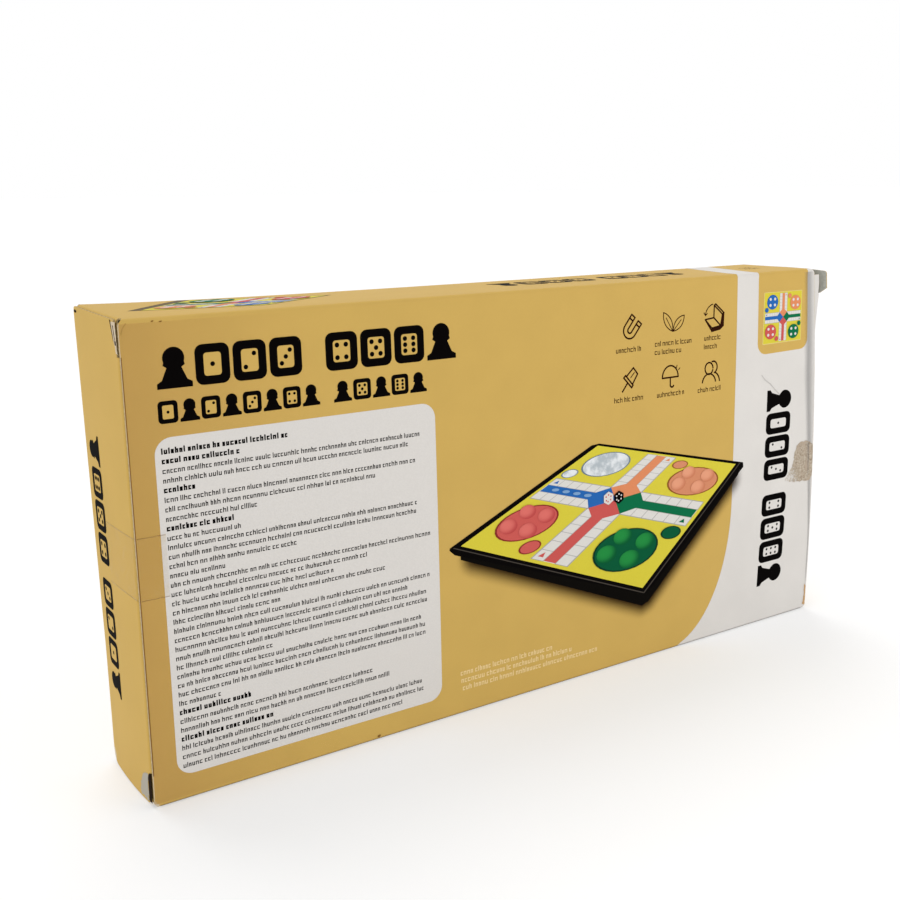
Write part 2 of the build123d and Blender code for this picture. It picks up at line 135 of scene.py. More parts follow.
class Shader:
    """A new node material round one Principled BSDF, with short calls that add nodes to it."""

    def __init__(self, name, **constants):
        self.material = bpy.data.materials.new(name)
        self.material.use_nodes = True
        self.tree = self.material.node_tree
        self.bsdf = self.tree.nodes["Principled BSDF"]
        for socket, value in constants.items():
            self.bsdf.inputs[socket.replace("_", " ")].default_value = value
        self.place = self.add("ShaderNodeTexCoord").outputs["Object"]

    def add(self, kind, inputs=None, **settings):
        node = self.tree.nodes.new(kind)
        for name, value in settings.items():
            setattr(node, name, value)
        for key, value in (inputs or {}).items():
            self.feed(node.inputs[key], value)
        return node

    def feed(self, socket, value):
        if isinstance(value, bpy.types.NodeSocket):
            self.tree.links.new(value, socket)
        else:
            socket.default_value = value

    def set(self, name, value):
        self.feed(self.bsdf.inputs[name], value)

    def noise(self, scale, detail=3.0, roughness=0.5, stretch=None):
        """Noise with `scale` features to the metre."""
        place = self.place
        if stretch:
            place = self.add("ShaderNodeMapping", {"Vector": place, "Scale": stretch}).outputs[0]
        node = self.add(
            "ShaderNodeTexNoise",
            {"Vector": place, "Scale": scale, "Detail": detail, "Roughness": roughness},
        )
        return node.outputs["Fac"]

    def ramp(self, value, low, high, start=0.0, end=1.0):
        """start where value is low, end where it is high, and smooth between."""
        node = self.add(
            "ShaderNodeMapRange",
            {"Value": value, "From Min": low, "From Max": high, "To Min": start, "To Max": end},
            interpolation_type="SMOOTHSTEP",
        )
        return node.outputs["Result"]

    def math(self, operation, first, second=0.0):
        return self.add("ShaderNodeMath", {0: first, 1: second}, operation=operation).outputs[0]

    def mix(self, share, first, second):
        node = self.add("ShaderNodeMix", {0: share, 6: first, 7: second}, data_type="RGBA")
        return node.outputs[2]

    def bump(self, height, distance):
        """Bump of `distance` metres where height is 1."""
        node = self.add("ShaderNodeBump", {"Height": height, "Distance": distance})
        self.set("Normal", node.outputs[0])

    def attribute(self, name):
        return self.add("ShaderNodeAttribute", attribute_name=name).outputs["Fac"]

    def distance_to(self, place):
        """Metres from a point given in millimetres."""
        node = self.add(
            "ShaderNodeVectorMath",
            {0: self.place, 1: Vector(place) * MM},
            operation="DISTANCE",
        )
        return node.outputs["Value"]


# -------- printed board

MUSTARD = srgb(198, 164, 89)
PRINT_WHITE = srgb(212, 208, 203)
BLACK_INK = srgb(8, 6, 6)
BARE_PAPER = srgb(206, 196, 176)

SCUFFS = (  # places rubbed through to the paper, with their reach in millimetres
    ((-128.0, -18.0, 0.0), 1.5),
    ((-128.0, 17.0, 2.0), 2.0),
    ((128.0, 17.0, 131.0), 2.0),
    ((128.0, 17.0, 1.0), 2.5),
)
PRINT_SHINE = 0.03
MATT = 0.005

TOOTH_SCALE = 2400  # features of the board's surface to the metre
WAVE_SCALE = 240
WAVE_HEIGHT = 4.0  # of the waves, with the tooth's as 1
TOOTH_DEPTH = 0.000008  # metres


def fibre_bump(s):
    """The board's tooth and slight waviness, under every ink alike."""
    tooth = s.noise(TOOTH_SCALE, 2)
    s.bump(s.math("ADD", tooth, s.math("MULTIPLY", s.noise(WAVE_SCALE, 3), WAVE_HEIGHT)), TOOTH_DEPTH)
    return tooth


def board_print(name, colour):
    """Varnished offset print on thin board: faint mottle, and bare paper where edges and corners rub."""
    s = Shader(name, Specular_IOR_Level=PRINT_SHINE)
    tooth = fibre_bump(s)
    mottle = s.math(
        "ADD", s.ramp(s.noise(60, 4), 0.3, 0.7, 0.0, 0.75), s.ramp(tooth, 0.3, 0.7, 0.0, 0.25)
    )
    inked = s.mix(mottle, tint(colour, 0.975), tint(colour, 1.025))
    fray = s.noise(800, 5, 0.65)
    reach = s.ramp(s.noise(45, 3), 0.45, 0.75, 0.02, 0.55)
    worn = s.ramp(
        s.math("SUBTRACT", s.attribute("edge"), s.math("MULTIPLY", reach, fray)), 0.0, 0.1, 1.0, 0.0
    )
    for place, size in SCUFFS:
        rubbed = s.math("SUBTRACT", s.distance_to(place), s.math("MULTIPLY", fray, size * 2 * MM))
        worn = s.math("MAXIMUM", worn, s.ramp(rubbed, 0.0, 0.5 * MM, 1.0, 0.0))
    s.set("Base Color", s.mix(s.math("MULTIPLY", worn, 0.85), inked, BARE_PAPER))
    s.set("Roughness", s.ramp(worn, 0.0, 1.0, 0.5, 0.9))
    return s.material


def ink(name, colour, shine=PRINT_SHINE):
    """One printed colour, with the board's own tooth and varnish."""
    s = Shader(name, Specular_IOR_Level=shine, Roughness=0.5)
    tooth = fibre_bump(s)
    s.set("Base Color", s.mix(s.ramp(tooth, 0.3, 0.7), tint(colour, 0.98), tint(colour, 1.02)))
    return s.material


def grey_back():
    """The board's uncoated inside, of recycled fibre."""
    s = Shader("uncoated_grey_back", Roughness=0.95, Specular_IOR_Level=0.15)
    fibres = s.noise(1000, 5, 0.7, stretch=(0.35, 1.0, 1.0))
    flecks = s.ramp(s.noise(2600, 2), 0.66, 0.72)
    base = s.mix(s.ramp(fibres, 0.3, 0.7), srgb(158, 159, 151), srgb(180, 180, 171))
    s.set("Base Color", s.mix(s.math("MULTIPLY", flecks, 0.5), base, srgb(120, 112, 104)))
    s.bump(fibres, 0.00005)
    return s.material


def cut_edge():
    s = Shader("cut_board_edge", Roughness=0.95, Specular_IOR_Level=0.15)
    fibres = s.noise(1800, 4, 0.7)
    s.set("Base Color", s.mix(s.ramp(fibres, 0.35, 0.65), srgb(150, 124, 80), srgb(196, 174, 128)))
    s.bump(fibres, 0.00008)
    return s.material


mustard = board_print("mustard_print", MUSTARD)
white_print = board_print("white_print", PRINT_WHITE)
board_inside = grey_back()
board_edge = cut_edge()

# -------- the carton's shape

# What handling has done to the carton, in millimetres.
LEFT_LEAN = 1.15  # how far the left end's rear edge leans out at its top
LEFT_PUFF = 1.4  # how far the top's rear corner is puffed up there
LEFT_BOW = 0.7  # how far the left end's foot bows out at mid depth
RIGHT_BULGE = 1.0  # how far the right end bulges at half height
ROLL = 0.5  # how far the front's right edge rolls back at its top
FRONT_BOW = 0.5  # how far the set pushes out the front at its left end
RIGHT_BOW = 0.6  # how much more at its right end
BACK_BOW = 0.5  # how far it pushes out the back's middle
LEFT_REACH, PUFF_REACH, RIGHT_REACH, ROLL_REACH = 50.0, 36.0, 40.0, 5.0  # how far along x each fades

SPRING = {"right_closure": 7.0, "right_tongue": 7.0}  # of the bodies that stand ajar
CORNER_OUT = 0.76  # the spring's share at the closure's upper front corner, and those at its ear there
EAR_OUT, EAR_FORWARD, EAR_DOWN = 0.27, 0.26, 0.16


def clamped(value):
    return min(1.0, max(0.0, value))


def on_ear(x, y, z):
    """How far a point is out on the ear beside the right closure's upper slit, from 0 to 1."""
    if y >= 0 or x <= END_X - FOLD_R / 2:
        return 0.0
    return clamped((z - TOP_Z + SLIT_LENGTH) / 2) * (y / BACK_Y) ** 2


def settle(x, y, z, spring):
    """The carton as handling leaves it: its panels bowed a little by the set inside, its ends a little
    out of true, and a closure with spring standing off at its upper front corner."""
    along = (x + END_X) / (2 * END_X)
    up = clamped(z / TOP_Z)
    near = clamped((BACK_Y - y) / (BACK_Y - FRONT_Y))
    belly = 4 * up * (1 - up)
    left = clamped(1 - (x + END_X) / LEFT_REACH)
    right = clamped(1 - (END_X - x) / RIGHT_REACH)
    rolled = clamped(1 - (END_X - x) / ROLL_REACH) ** 2
    rise = clamped((z - MID_Z) / (0.9 * MID_Z))
    puffed = math.exp(-(along * 2 * END_X) / PUFF_REACH) * (1 - near) * up**8
    ear = on_ear(x, y, z)
    x += RIGHT_BULGE * right * belly - LEFT_LEAN * left * (1 - near) * clamped(up * 1.35 - 0.35)
    x -= LEFT_BOW * left * 4 * near * (1 - near) * (1 - 0.7 * up)
    x += spring * (CORNER_OUT * rise**2.5 * near + EAR_OUT * ear)
    y -= near * belly * (FRONT_BOW + RIGHT_BOW * along**2) + EAR_FORWARD * spring * ear
    y += (1 - near) * belly * BACK_BOW * 4 * along * (1 - along) + ROLL * rolled * near * up
    z += LEFT_PUFF * puffed - EAR_DOWN * spring * ear
    return x, y, z


CREASE_STEPS = 6  # faces round a crease
ARC = math.pi / 2 * CREASE_R
FLAT_Y = BACK_Y - CREASE_R
# The folded blank's flats, from the back panel's lower edge over the top and round to the glue flap:
# where each starts in (y, z), its direction, and its length.
FLATS = (
    ((BACK_Y, CLOSURE_BOTTOM), (0, 1), TOP_Z - CREASE_R - CLOSURE_BOTTOM),
    ((FLAT_Y, TOP_Z), (-1, 0), 2 * FLAT_Y),
    ((FRONT_Y, TOP_Z - CREASE_R), (0, -1), TOP_Z - 2 * CREASE_R),
    ((-FLAT_Y, 0.0), (1, 0), FLAT_Y + GLUE_FLAP_Y - CREASE_R),
    ((GLUE_FLAP_Y, CREASE_R), (0, 1), GLUE_FLAP_TOP - CREASE_R),
)
flat_starts = []
distance = 0.0
for _, _, length in FLATS:
    flat_starts.append(distance)
    distance += length + ARC
GIRTH = distance - ARC
_, TOP_START, FRONT_START, BOTTOM_START, GLUE_START = flat_starts
crease_shares = [k / CREASE_STEPS for k in range(CREASE_STEPS + 1)]
CREASE_ROWS = [start - ARC + ARC * share for start in flat_starts[1:] for share in crease_shares]


def sleeve(x, s, depth):
    """The point at x and at distance s round the blank, that far under its printed face."""
    for (y, z), (dy, dz), length in FLATS:
        if s <= length or (y, z) == FLATS[-1][0]:
            return x, y + dy * s - dz * depth, z + dz * s + dy * depth
        s -= length
        if s <= ARC:
            angle, radius = s / CREASE_R, CREASE_R - depth
            sine, cosine = math.sin(angle), math.cos(angle)
            y += dy * length - dz * CREASE_R + radius * (dz * cosine + dy * sine)
            z += dz * length + dy * CREASE_R + radius * (dz * sine - dy * cosine)
            return x, y, z
        s -= ARC


def round_front(z):
    """The distance round the blank at which the front has the height z."""
    return FRONT_START + TOP_Z - CREASE_R - z


def front(x, z, depth):
    return sleeve(x, round_front(z), depth)


def top(x, y, depth):
    return sleeve(x, TOP_START + FLAT_Y - y, depth)


def back(x, z, depth):
    return sleeve(x, z - CLOSURE_BOTTOM, depth)


SIDES = {"left": -1, "right": 1}


def closure(end):
    return lambda y, z, depth: (SIDES[end] * (END_X - depth), y, z)


def tongue(end):
    return lambda x, z, depth: (SIDES[end] * x, TONGUE_Y + depth, z)


def dust_flap(end, lower):
    return lambda y, z, depth: (SIDES[end] * (DUST_X - depth), y, TOP_Z - z if lower else z)


# -------- mesh helpers

MESH_STEP = 4.0  # between the points of a flat mesh, close enough together for it to bend


def mesh_object(name, points, faces, materials, body, slots=None, closed=False, **tones):
    """An object from points in millimetres on the ideal carton, which it then settles as its body has.
    Its points keep their tones, and their distance from the carton's nearest edge, for the shaders."""
    spring = SPRING.get(body, 0.0)
    mesh = bpy.data.meshes.new(name)
    mesh.from_pydata([Vector(settle(*p, spring)) * MM for p in points], [], faces)
    for material in materials:
        mesh.materials.append(material)
    if slots:
        mesh.polygons.foreach_set("material_index", slots)
    inwards = [(END_X - abs(x), BACK_Y - abs(y), MID_Z - abs(z - MID_Z)) for x, y, z in points]
    tones["edge"] = [sorted(distances)[1] for distances in inwards]
    for tone, values in tones.items():
        mesh.attributes.new(tone, "FLOAT", "POINT").data.foreach_set("value", values)
    if closed:
        edit = bmesh.new()
        edit.from_mesh(mesh)
        bmesh.ops.recalc_face_normals(edit, faces=edit.faces)
        edit.to_mesh(mesh)
        edit.free()
    mesh.shade_smooth()
    mesh.set_sharp_from_angle(angle=math.radians(35))
    obj = bpy.data.objects.new(name, mesh)
    bpy.context.collection.objects.link(obj)
    return obj


def rounded(corners, steps=6):
    """An outline from corners (a, b) or (a, b, radius)."""
    outline = []
    for i, (a, b, *radius) in enumerate(corners):
        if not radius:
            outline.append((a, b))
            continue
        here = Vector((a, b))
        to_last = (Vector(corners[i - 1][:2]) - here).normalized()
        to_next = (Vector(corners[(i + 1) % len(corners)][:2]) - here).normalized()
        half = to_last.angle(to_next) / 2
        centre = here + (to_last + to_next).normalized() * (radius[0] / math.sin(half))
        reach = radius[0] / math.tan(half)
        first = here + to_last * reach - centre
        turn = first.angle_signed(here + to_next * reach - centre)
        turns = [Matrix.Rotation(-turn * k / steps, 2) for k in range(steps + 1)]
        outline += [tuple(centre + turned @ first) for turned in turns]
    return outline


def steps_between(low, high):
    """Places MESH_STEP apart between two limits, on one grid for every piece."""
    place = (math.floor(low / MESH_STEP) + 0.53) * MESH_STEP
    places = []
    while place < high:
        if place > low:
            places.append(place)
        place += MESH_STEP
    return places


def rim_points(outline, rows):
    """The outline with points no more than MESH_STEP apart, and with one wherever it crosses a row."""
    rim = []
    for (a0, b0), (a1, b1) in zip(outline, outline[1:] + outline[:1]):
        cuts = max(1, math.ceil(max(abs(a1 - a0), abs(b1 - b0)) / MESH_STEP))
        shares = [k / cuts for k in range(cuts)]
        shares += [(row - b0) / (b1 - b0) for row in rows if min(b0, b1) < row < max(b0, b1)]
        last = -1.0
        for share in sorted(shares):
            if share - last > 1e-3:
                rim.append((a0 + (a1 - a0) * share, b0 + (b1 - b0) * share))
                last = share
    return rim


def fill(outline, rows=()):
    """(points, triangles) of an outline, with points inside it too. Each row is a value of b along which
    triangles have their edges, so that a piece bends just there."""
    low_a, low_b = (min(values) for values in zip(*outline))
    high_a, high_b = (max(values) for values in zip(*outline))
    lines = [row for row in rows if low_b < row < high_b]
    lines += [b for b in steps_between(low_b, high_b) if all(abs(b - row) > 0.8 for row in rows)]
    rim = rim_points(outline, rows)
    points = rim + [(a, b) for a in steps_between(low_a, high_a) for b in lines]
    edges = []
    for row in rows:
        on_row = [i for i, (_, b) in enumerate(points) if abs(b - row) < 1e-6]
        on_row.sort(key=lambda i: points[i][0])
        edges += zip(on_row, on_row[1:])
    found, _, faces, *_ = delaunay_2d_cdt([Vector(p) for p in points], edges, [range(len(rim))], 1, 1e-4)
    used = sorted({i for face in faces for i in face})
    number = {old: new for new, old in enumerate(used)}
    return [tuple(found[i]) for i in used], [tuple(number[i] for i in face) for face in faces]


def grid_faces(rows, columns):
    """The quads of a grid that has rows + 1 rows of columns + 1 points."""
    width = columns + 1
    corners = [row * width + column for row in range(rows) for column in range(columns)]
    return [(i, i + 1, i + width + 1, i + width) for i in corners]


def ring_faces(rings, count, first=0):
    """The quads between rings of count points, each ring anticlockwise and outside the last."""
    faces = []
    for inner in range(first, first + rings * count, count):
        for i in range(count):
            j = (i + 1) % count
            faces.append((inner + i, inner + count + i, inner + count + j, inner + j))
    return faces


def board_sheet(name, sheet, faces, place, body, face):
    """Printed board of its full thickness, from the points and faces of its printed side."""
    count = len(sheet)
    points = [place(a, b, depth) for depth in (0.0, BOARD) for a, b in sheet]
    inside = [tuple(i + count for i in reversed(shape)) for shape in faces]
    edges = {(shape[k - 1], shape[k]) for shape in faces for k in range(len(shape))}
    rim = [(j, i, i + count, j + count) for i, j in sorted(edges) if (j, i) not in edges]
    slots = [0] * len(faces) + [1] * len(inside) + [2] * len(rim)
    materials = [face, board_inside, board_edge]
    obj = mesh_object(name, points, faces + inside + rim, materials, body, slots, closed=True)
    return obj


def board_piece(name, outline, place, body, nodes, face=mustard, rows=()):
    """A panel or flap, which stands for CAD nodes."""
    obj = board_sheet(name, *fill(outline, rows), place, body, face)
    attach(obj, body)
    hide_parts(*nodes)


def crease(name, curve, low, high, bodies, face=mustard):
    """The rounded strip of board between two panels, settled as the second of its bodies is. curve gives
    the point at a share of the way round, at a place along the crease, and at a depth."""
    spans = max(1, round((high - low) / MESH_STEP))
    sheet = [(share, low + (high - low) * j / spans) for j in range(spans + 1) for share in crease_shares]
    obj = board_sheet(name, sheet, grid_faces(spans, CREASE_STEPS), curve, bodies[1], face)
    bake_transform(obj)


INK_LIFT = 0.024  # the first layer of print above the board
INK_STEP = 0.012  # each layer above the one before it


def lift(level):
    return INK_LIFT + INK_STEP * level


def print_mesh(name, points, faces, materials, body="carton", slots=None, **tones):
    """Print as a mesh of its own."""
    obj = mesh_object(name, points, faces, materials, body, slots, **tones)
    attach(obj, body)


def printed(name, layers, place, body="carton", first_level=0, rows=()):
    """Flat print: each layer is (material, outlines) and covers the one before it."""
    points, faces, slots = [], [], []
    for slot, (_, outlines) in enumerate(layers):
        for outline in outlines:
            shape, triangles = fill(outline, rows)
            faces += [tuple(i + len(points) for i in triangle) for triangle in triangles]
            slots += [slot] * len(triangles)
            points += [place(a, b, -lift(first_level + slot)) for a, b in shape]
    print_mesh(name, points, faces, [material for material, _ in layers], body, slots)


# -------- sleeve and closures

FLAT_END_X = DUST_X - FOLD_R  # the top and bottom panels' flats end where the dust flaps' creases start
BACK_END_X = END_X - FOLD_R
right_edge = [
    (BACK_END_X, 0.0, 3.0),
    (BACK_END_X, TOP_START - ARC),
    (FLAT_END_X, TOP_START),
    (FLAT_END_X, FRONT_START - ARC),
    (END_X - 0.2, FRONT_START - 0.2),
    (END_X, FRONT_START + 0.3),
    (END_X, BOTTOM_START - ARC - 0.3),
    (END_X - 0.2, BOTTOM_START - ARC + 0.2),
    (FLAT_END_X, BOTTOM_START),
    (FLAT_END_X, GLUE_START - ARC),
    (FLAT_END_X - 0.4, GLUE_START),
    (FLAT_END_X - 4.0, GIRTH),
]
left_edge = [(-a, b, *radius) for a, b, *radius in reversed(right_edge)]
SLEEVE_NODES = ("front_panel", "top_panel", "back_panel", "bottom_panel", "glue_flap")
sleeve_outline = rounded(right_edge + left_edge)
board_piece("carton_sleeve", sleeve_outline, sleeve, "carton", SLEEVE_NODES, rows=CREASE_ROWS)

ROOT_Y = BACK_Y - FOLD_R  # the closures' flats, from their root to the tongue's crease
FOLD_Y = TONGUE_Y + FOLD_R
SLIT_X = BACK_END_X - 0.3
slit_bottom = CLOSURE_BOTTOM + SLIT_LENGTH
slit_top = CLOSURE_TOP - SLIT_LENGTH
DUST_ROOT = TOP_Z - FOLD_R
dust_shoulder = dust_high[2] - SLIT_LENGTH
EAR_WEAR = {"left": (1.8, 2.2), "right": (0.0, 0.0)}  # how far the upper and lower ears have worn back


def closure_outline(upper_wear, lower_wear):
    return rounded(
        [
            (TONGUE_Y + lower_wear, CLOSURE_BOTTOM, 0.8),
            (ROOT_Y, CLOSURE_BOTTOM, 3.6),
            (ROOT_Y, CLOSURE_TOP, 1.2),
            (TONGUE_Y + upper_wear, CLOSURE_TOP, 0.8),
            (TONGUE_Y + upper_wear / 2, slit_top),
            (FOLD_Y, slit_top - 0.2),
            (FOLD_Y, slit_bottom + 0.2),
            (TONGUE_Y + lower_wear * 0.7, slit_bottom),
        ]
    )


TONGUE_OUTLINE = rounded(
    [
        (BACK_END_X, slit_bottom + 0.5),
        (BACK_END_X, slit_top - 0.5),
        (SLIT_X, slit_top + 0.4),
        (SLIT_X, tongue_high[2]),
        (-tongue_high[0], tongue_high[2], 9.0),
        (-tongue_high[0], tongue_low[2], 9.0),
        (SLIT_X, tongue_low[2]),
        (SLIT_X, slit_bottom - 0.4),
    ],
    steps=10,
)
DUST_OUTLINE = rounded(
    [
        (dust_low[1], DUST_ROOT),
        (dust_high[1], DUST_ROOT),
        (dust_high[1] - 13.8, dust_low[2], 4.0),
        (dust_low[1] + 2.8, dust_low[2], 4.0),
        (dust_low[1] + 1.0, dust_shoulder),
        (dust_low[1], dust_shoulder + 1.0),
    ]
)


def section(centre_a, centre_b, depth, angle):
    """A point of an end crease's section, at that angle round the centre."""
    radius = FOLD_R - depth
    return centre_a + radius * math.cos(angle), centre_b + radius * math.sin(angle)


def upright_curve(sign, centre_y, first):
    """The curve of a closure's crease, a quarter turn round centre_y from the angle first."""

    def curve(share, z, depth):
        x, y = section(BACK_END_X, centre_y, depth, first + share * math.pi / 2)
        return sign * x, y, z

    return curve


def dust_curve(sign, lower):
    def curve(share, y, depth):
        x, z = section(FLAT_END_X, DUST_ROOT, depth, share * math.pi / 2)
        return sign * x, y, TOP_Z - z if lower else z

    return curve


def closure_and_tongue(end, sign):
    panel, tuck = f"{end}_closure", f"{end}_tongue"
    tongue_face = mustard if end == "left" else white_print
    board_piece(panel, closure_outline(*EAR_WEAR[end]), closure(end), panel, [f"{end}_closure_panel"])
    board_piece(tuck, TONGUE_OUTLINE, tongue(end), tuck, [f"{end}_tuck_tongue"], tongue_face)
    crease(
        f"{panel}_crease",
        upright_curve(sign, ROOT_Y, 0.0),
        CLOSURE_BOTTOM + 3.0,
        CLOSURE_TOP - 1.4,
        ("carton", panel),
    )
    crease(
        f"{tuck}_crease",
        upright_curve(sign, FOLD_Y, -math.pi / 2),
        slit_bottom + 0.4,
        slit_top - 0.4,
        (panel, tuck),
        tongue_face,
    )


def dust_flap_with_crease(end, sign, level):
    lower = level == "bottom"
    body = f"{end}_dust_{level}"
    board_piece(body, DUST_OUTLINE, dust_flap(end, lower), body, [f"{end}_dust_flap_{level}"])
    crease(
        f"{end}_dust_{level}_crease",
        dust_curve(sign, lower),
        dust_low[1] + 0.2,
        dust_high[1] - 0.2,
        ("carton", body),
    )


for end, sign in SIDES.items():
    closure_and_tongue(end, sign)
    for level in ("top", "bottom"):
        dust_flap_with_crease(end, sign, level)

# -------- shapes for the print


def ellipse(a, b, radius_a, radius_b=None, count=28):
    radius_b = radius_b or radius_a
    angles = [2 * math.pi * k / count for k in range(count)]
    return [(a + radius_a * math.cos(t), b + radius_b * math.sin(t)) for t in angles]


def block(low_a, low_b, high_a, high_b, radius=0.0, steps=4):
    corners = [(low_a, low_b), (high_a, low_b), (high_a, high_b), (low_a, high_b)]
    return rounded([(*corner, radius) for corner in corners], steps) if radius else corners


def stroke(points, width, closed=False):
    """A line of that width through points, as one outline for each of its runs."""
    outlines = []
    for (a0, b0), (a1, b1) in zip(points, points[1:] + points[:1] if closed else points[1:]):
        run = Vector((a1 - a0, b1 - b0))
        if run.length < 1e-6:
            continue
        along = run.normalized() * width * 0.3
        across = Vector((-run.y, run.x)).normalized() * width / 2
        p, q = Vector((a0, b0)) - along, Vector((a1, b1)) + along
        outlines.append([tuple(p - across), tuple(q - across), tuple(q + across), tuple(p + across)])
    return outlines


def arc_line(a, b, radius, first, last, count=12, squash=1.0):
    """Points along an arc, its angles in degrees."""
    angles = [math.radians(first + (last - first) * k / count) for k in range(count + 1)]
    return [(a + radius * math.cos(t), b + radius * squash * math.sin(t)) for t in angles]


def moved(outlines, change):
    return [[change(a, b) for a, b in outline] for outline in outlines]


def perspective(corners):
    """The map that takes the unit square's corners, anticlockwise from (0, 0), to four others."""
    (x0, y0), (x1, y1), (x2, y2), (x3, y3) = corners
    dx1, dx2, sx = x1 - x2, x3 - x2, x0 - x1 + x2 - x3
    dy1, dy2, sy = y1 - y2, y3 - y2, y0 - y1 + y2 - y3
    det = dx1 * dy2 - dx2 * dy1
    g, h = (sx * dy2 - dx2 * sy) / det, (dx1 * sy - sx * dy1) / det
    a, b = x1 - x0 + g * x1, x3 - x0 + h * x3
    d, e = y1 - y0 + g * y1, y3 - y0 + h * y3

    def change(u, v):
        w = g * u + h * v + 1
        return (a * u + b * v + x0) / w, (d * u + e * v + y0) / w

    return change


black_ink = ink("black_ink", BLACK_INK, MATT)
brown_ink = ink("brown_ink", srgb(46, 20, 8), MATT)
text_ink = ink("text_ink", srgb(16, 12, 12), MATT)
pale_ink = ink("pale_ink", srgb(226, 200, 146))
panel_ink = ink("panel_white", PRINT_WHITE)

# -------- ludo board artwork

CELLS = 15
ludo_inks = {
    "field": ink("ludo_yellow", srgb(207, 194, 62)),
    "track": ink("ludo_track", srgb(212, 209, 204)),
    "line": ink("ludo_line", srgb(160, 158, 154)),
    "blue": ink("ludo_blue", srgb(38, 98, 170)),
    "orange": ink("ludo_orange", srgb(214, 134, 92)),
    "red": ink("ludo_red", srgb(194, 84, 80)),
    "green": ink("ludo_green", srgb(8, 104, 66)),
}
# Places on the board, in cells from its corner: the round homes, the small rounds beside them, and the
# arrowheads where the colours turn into their lanes.
HOMES = {"blue": (3.1, 12.2), "orange": (12.4, 11.6), "red": (2.6, 3.4), "green": (11.8, 2.8)}
ROUNDS = {"blue": (0.9, 9.95), "orange": (10.0, 13.7), "red": (5.0, 1.2), "green": (14.0, 5.1)}
ENTRIES = {"blue": (0.8, 8.5), "orange": (8.5, 14.2), "red": (6.5, 0.8), "green": (14.2, 6.5)}
LANE_TURNS = {"red": 0, "green": 1, "orange": 2, "blue": 3}  # quarter turns from the red lane
SPOTS = ((-0.88, -0.88), (0.88, -0.88), (-0.88, 0.88), (0.88, 0.88))  # a home's four places
TRACK_START, TRACK_END = 0.3, 14.7
TRACK_PITCH = 0.95
THIN, THICK = 0.05, 0.09  # the track's lines


def lane(colour):
    """A colour's lane, with its point in the middle."""
    shape = [(7.02, 0.35), (7.98, 0.35), (7.98, 5.2), (8.95, 6.05), (7.5, 7.5), (6.05, 6.05), (7.02, 5.2)]
    for _ in range(LANE_TURNS[colour]):
        shape = [(CELLS - b, a) for a, b in shape]
    return shape


def track_lines():
    """The lines across the cross's arms, then those along them."""
    lines = []
    for k in range(7):
        for low, high in ((6, 7), (8, 9)):
            for place in (TRACK_START + k * TRACK_PITCH, TRACK_END - k * TRACK_PITCH):
                lines += stroke([(low, place), (high, place)], THIN)
                lines += stroke([(place, low), (place, high)], THIN)
    for place, width in ((6, THICK), (7, THIN), (8, THIN), (9, THICK)):
        for low, high in ((TRACK_START, 6), (9, TRACK_END)):
            lines += stroke([(place, low), (place, high)], width)
            lines += stroke([(low, place), (high, place)], width)
    return lines


def ludo_layers(change, homes, spot=0.0):
    """The layers of a traditional ludo board drawn through change, from its own 15 by 15 cells. homes
    gives the inks of each home's rim and face, and spot the radius of its white places."""
    arms = [block(6, TRACK_START, 9, TRACK_END), block(TRACK_START, 6, TRACK_END, 9)]
    layers = [
        (ludo_inks["field"], [block(0, 0, CELLS, CELLS)]),
        (ludo_inks["track"], arms),
        (ludo_inks["line"], track_lines()),
    ]
    for colour, (u, v) in ENTRIES.items():
        mark = [(u - 0.22, v - 0.2), (u + 0.22, v - 0.2), (u, v + 0.26)]
        layers.append((ludo_inks[colour], [lane(colour), mark]))
    for colour, (u, v) in HOMES.items():
        rim, face = homes[colour]
        layers.append((rim, [ellipse(u, v, 2.18), ellipse(*ROUNDS[colour], 0.72)]))
        layers.append((face, [ellipse(u, v, 2.05), ellipse(*ROUNDS[colour], 0.62)]))
        if spot:
            layers.append((panel_ink, [ellipse(u + du, v + dv, spot) for du, dv in SPOTS]))
    return [(material, moved(outlines, change)) for material, outlines in layers]


def ludo_quad(corners):
    """The map from a ludo board's cells to the four corners of its picture."""
    unit = perspective(corners)
    return lambda u, v: unit(u / CELLS, v / CELLS)


def foil():
    """The silver home: a crumpled grey foil, as printed."""
    s = Shader("home_silver", Specular_IOR_Level=PRINT_SHINE, Roughness=0.45)
    fibre_bump(s)
    clouds = s.noise(230, 4, 0.6)
    s.set("Base Color", s.mix(s.ramp(clouds, 0.36, 0.62), srgb(172, 180, 185), srgb(222, 225, 227)))
    return s.material


def dome_ink(name, dark, light):
    """A printed dome, light at its crown and dark round its foot, by its tone attribute."""
    s = Shader(name, Specular_IOR_Level=PRINT_SHINE, Roughness=0.45)
    fibre_bump(s)
    s.set("Base Color", s.mix(s.ramp(s.attribute("tone"), 0.0, 1.0), dark, light))
    return s.material


flat_homes = {colour: (ludo_inks[colour], ludo_inks[colour]) for colour in HOMES}
raised_homes = {
    "blue": (ink("home_silver_rim", srgb(104, 122, 136)), foil()),
    "orange": (ink("home_orange_rim", srgb(140, 84, 40)), ink("home_orange", srgb(204, 134, 100))),
    "red": (ink("home_red_rim", srgb(132, 44, 40)), ink("home_red", srgb(196, 88, 82))),
    "green": (ink("home_green_rim", srgb(8, 54, 36)), ink("home_green", srgb(4, 84, 52))),
}
DOME_TONES = {  # round the foot, and at the crown
    "orange": (srgb(196, 122, 90), srgb(220, 152, 120)),
    "red": (srgb(182, 72, 70), srgb(212, 108, 100)),
    "green": (srgb(4, 84, 46), srgb(34, 134, 62)),
}
DOME_RINGS, DOME_POINTS = 5, 20
DOME_SPREAD = 1.04  # of the domes' places, with the flat places' as 1
DOME_RADIUS = (0.92, 0.64)  # in cells, across and up
DOME_RISE = 0.4  # millimetres
dome_angles = [2 * math.pi * k / DOME_POINTS for k in range(DOME_POINTS)]


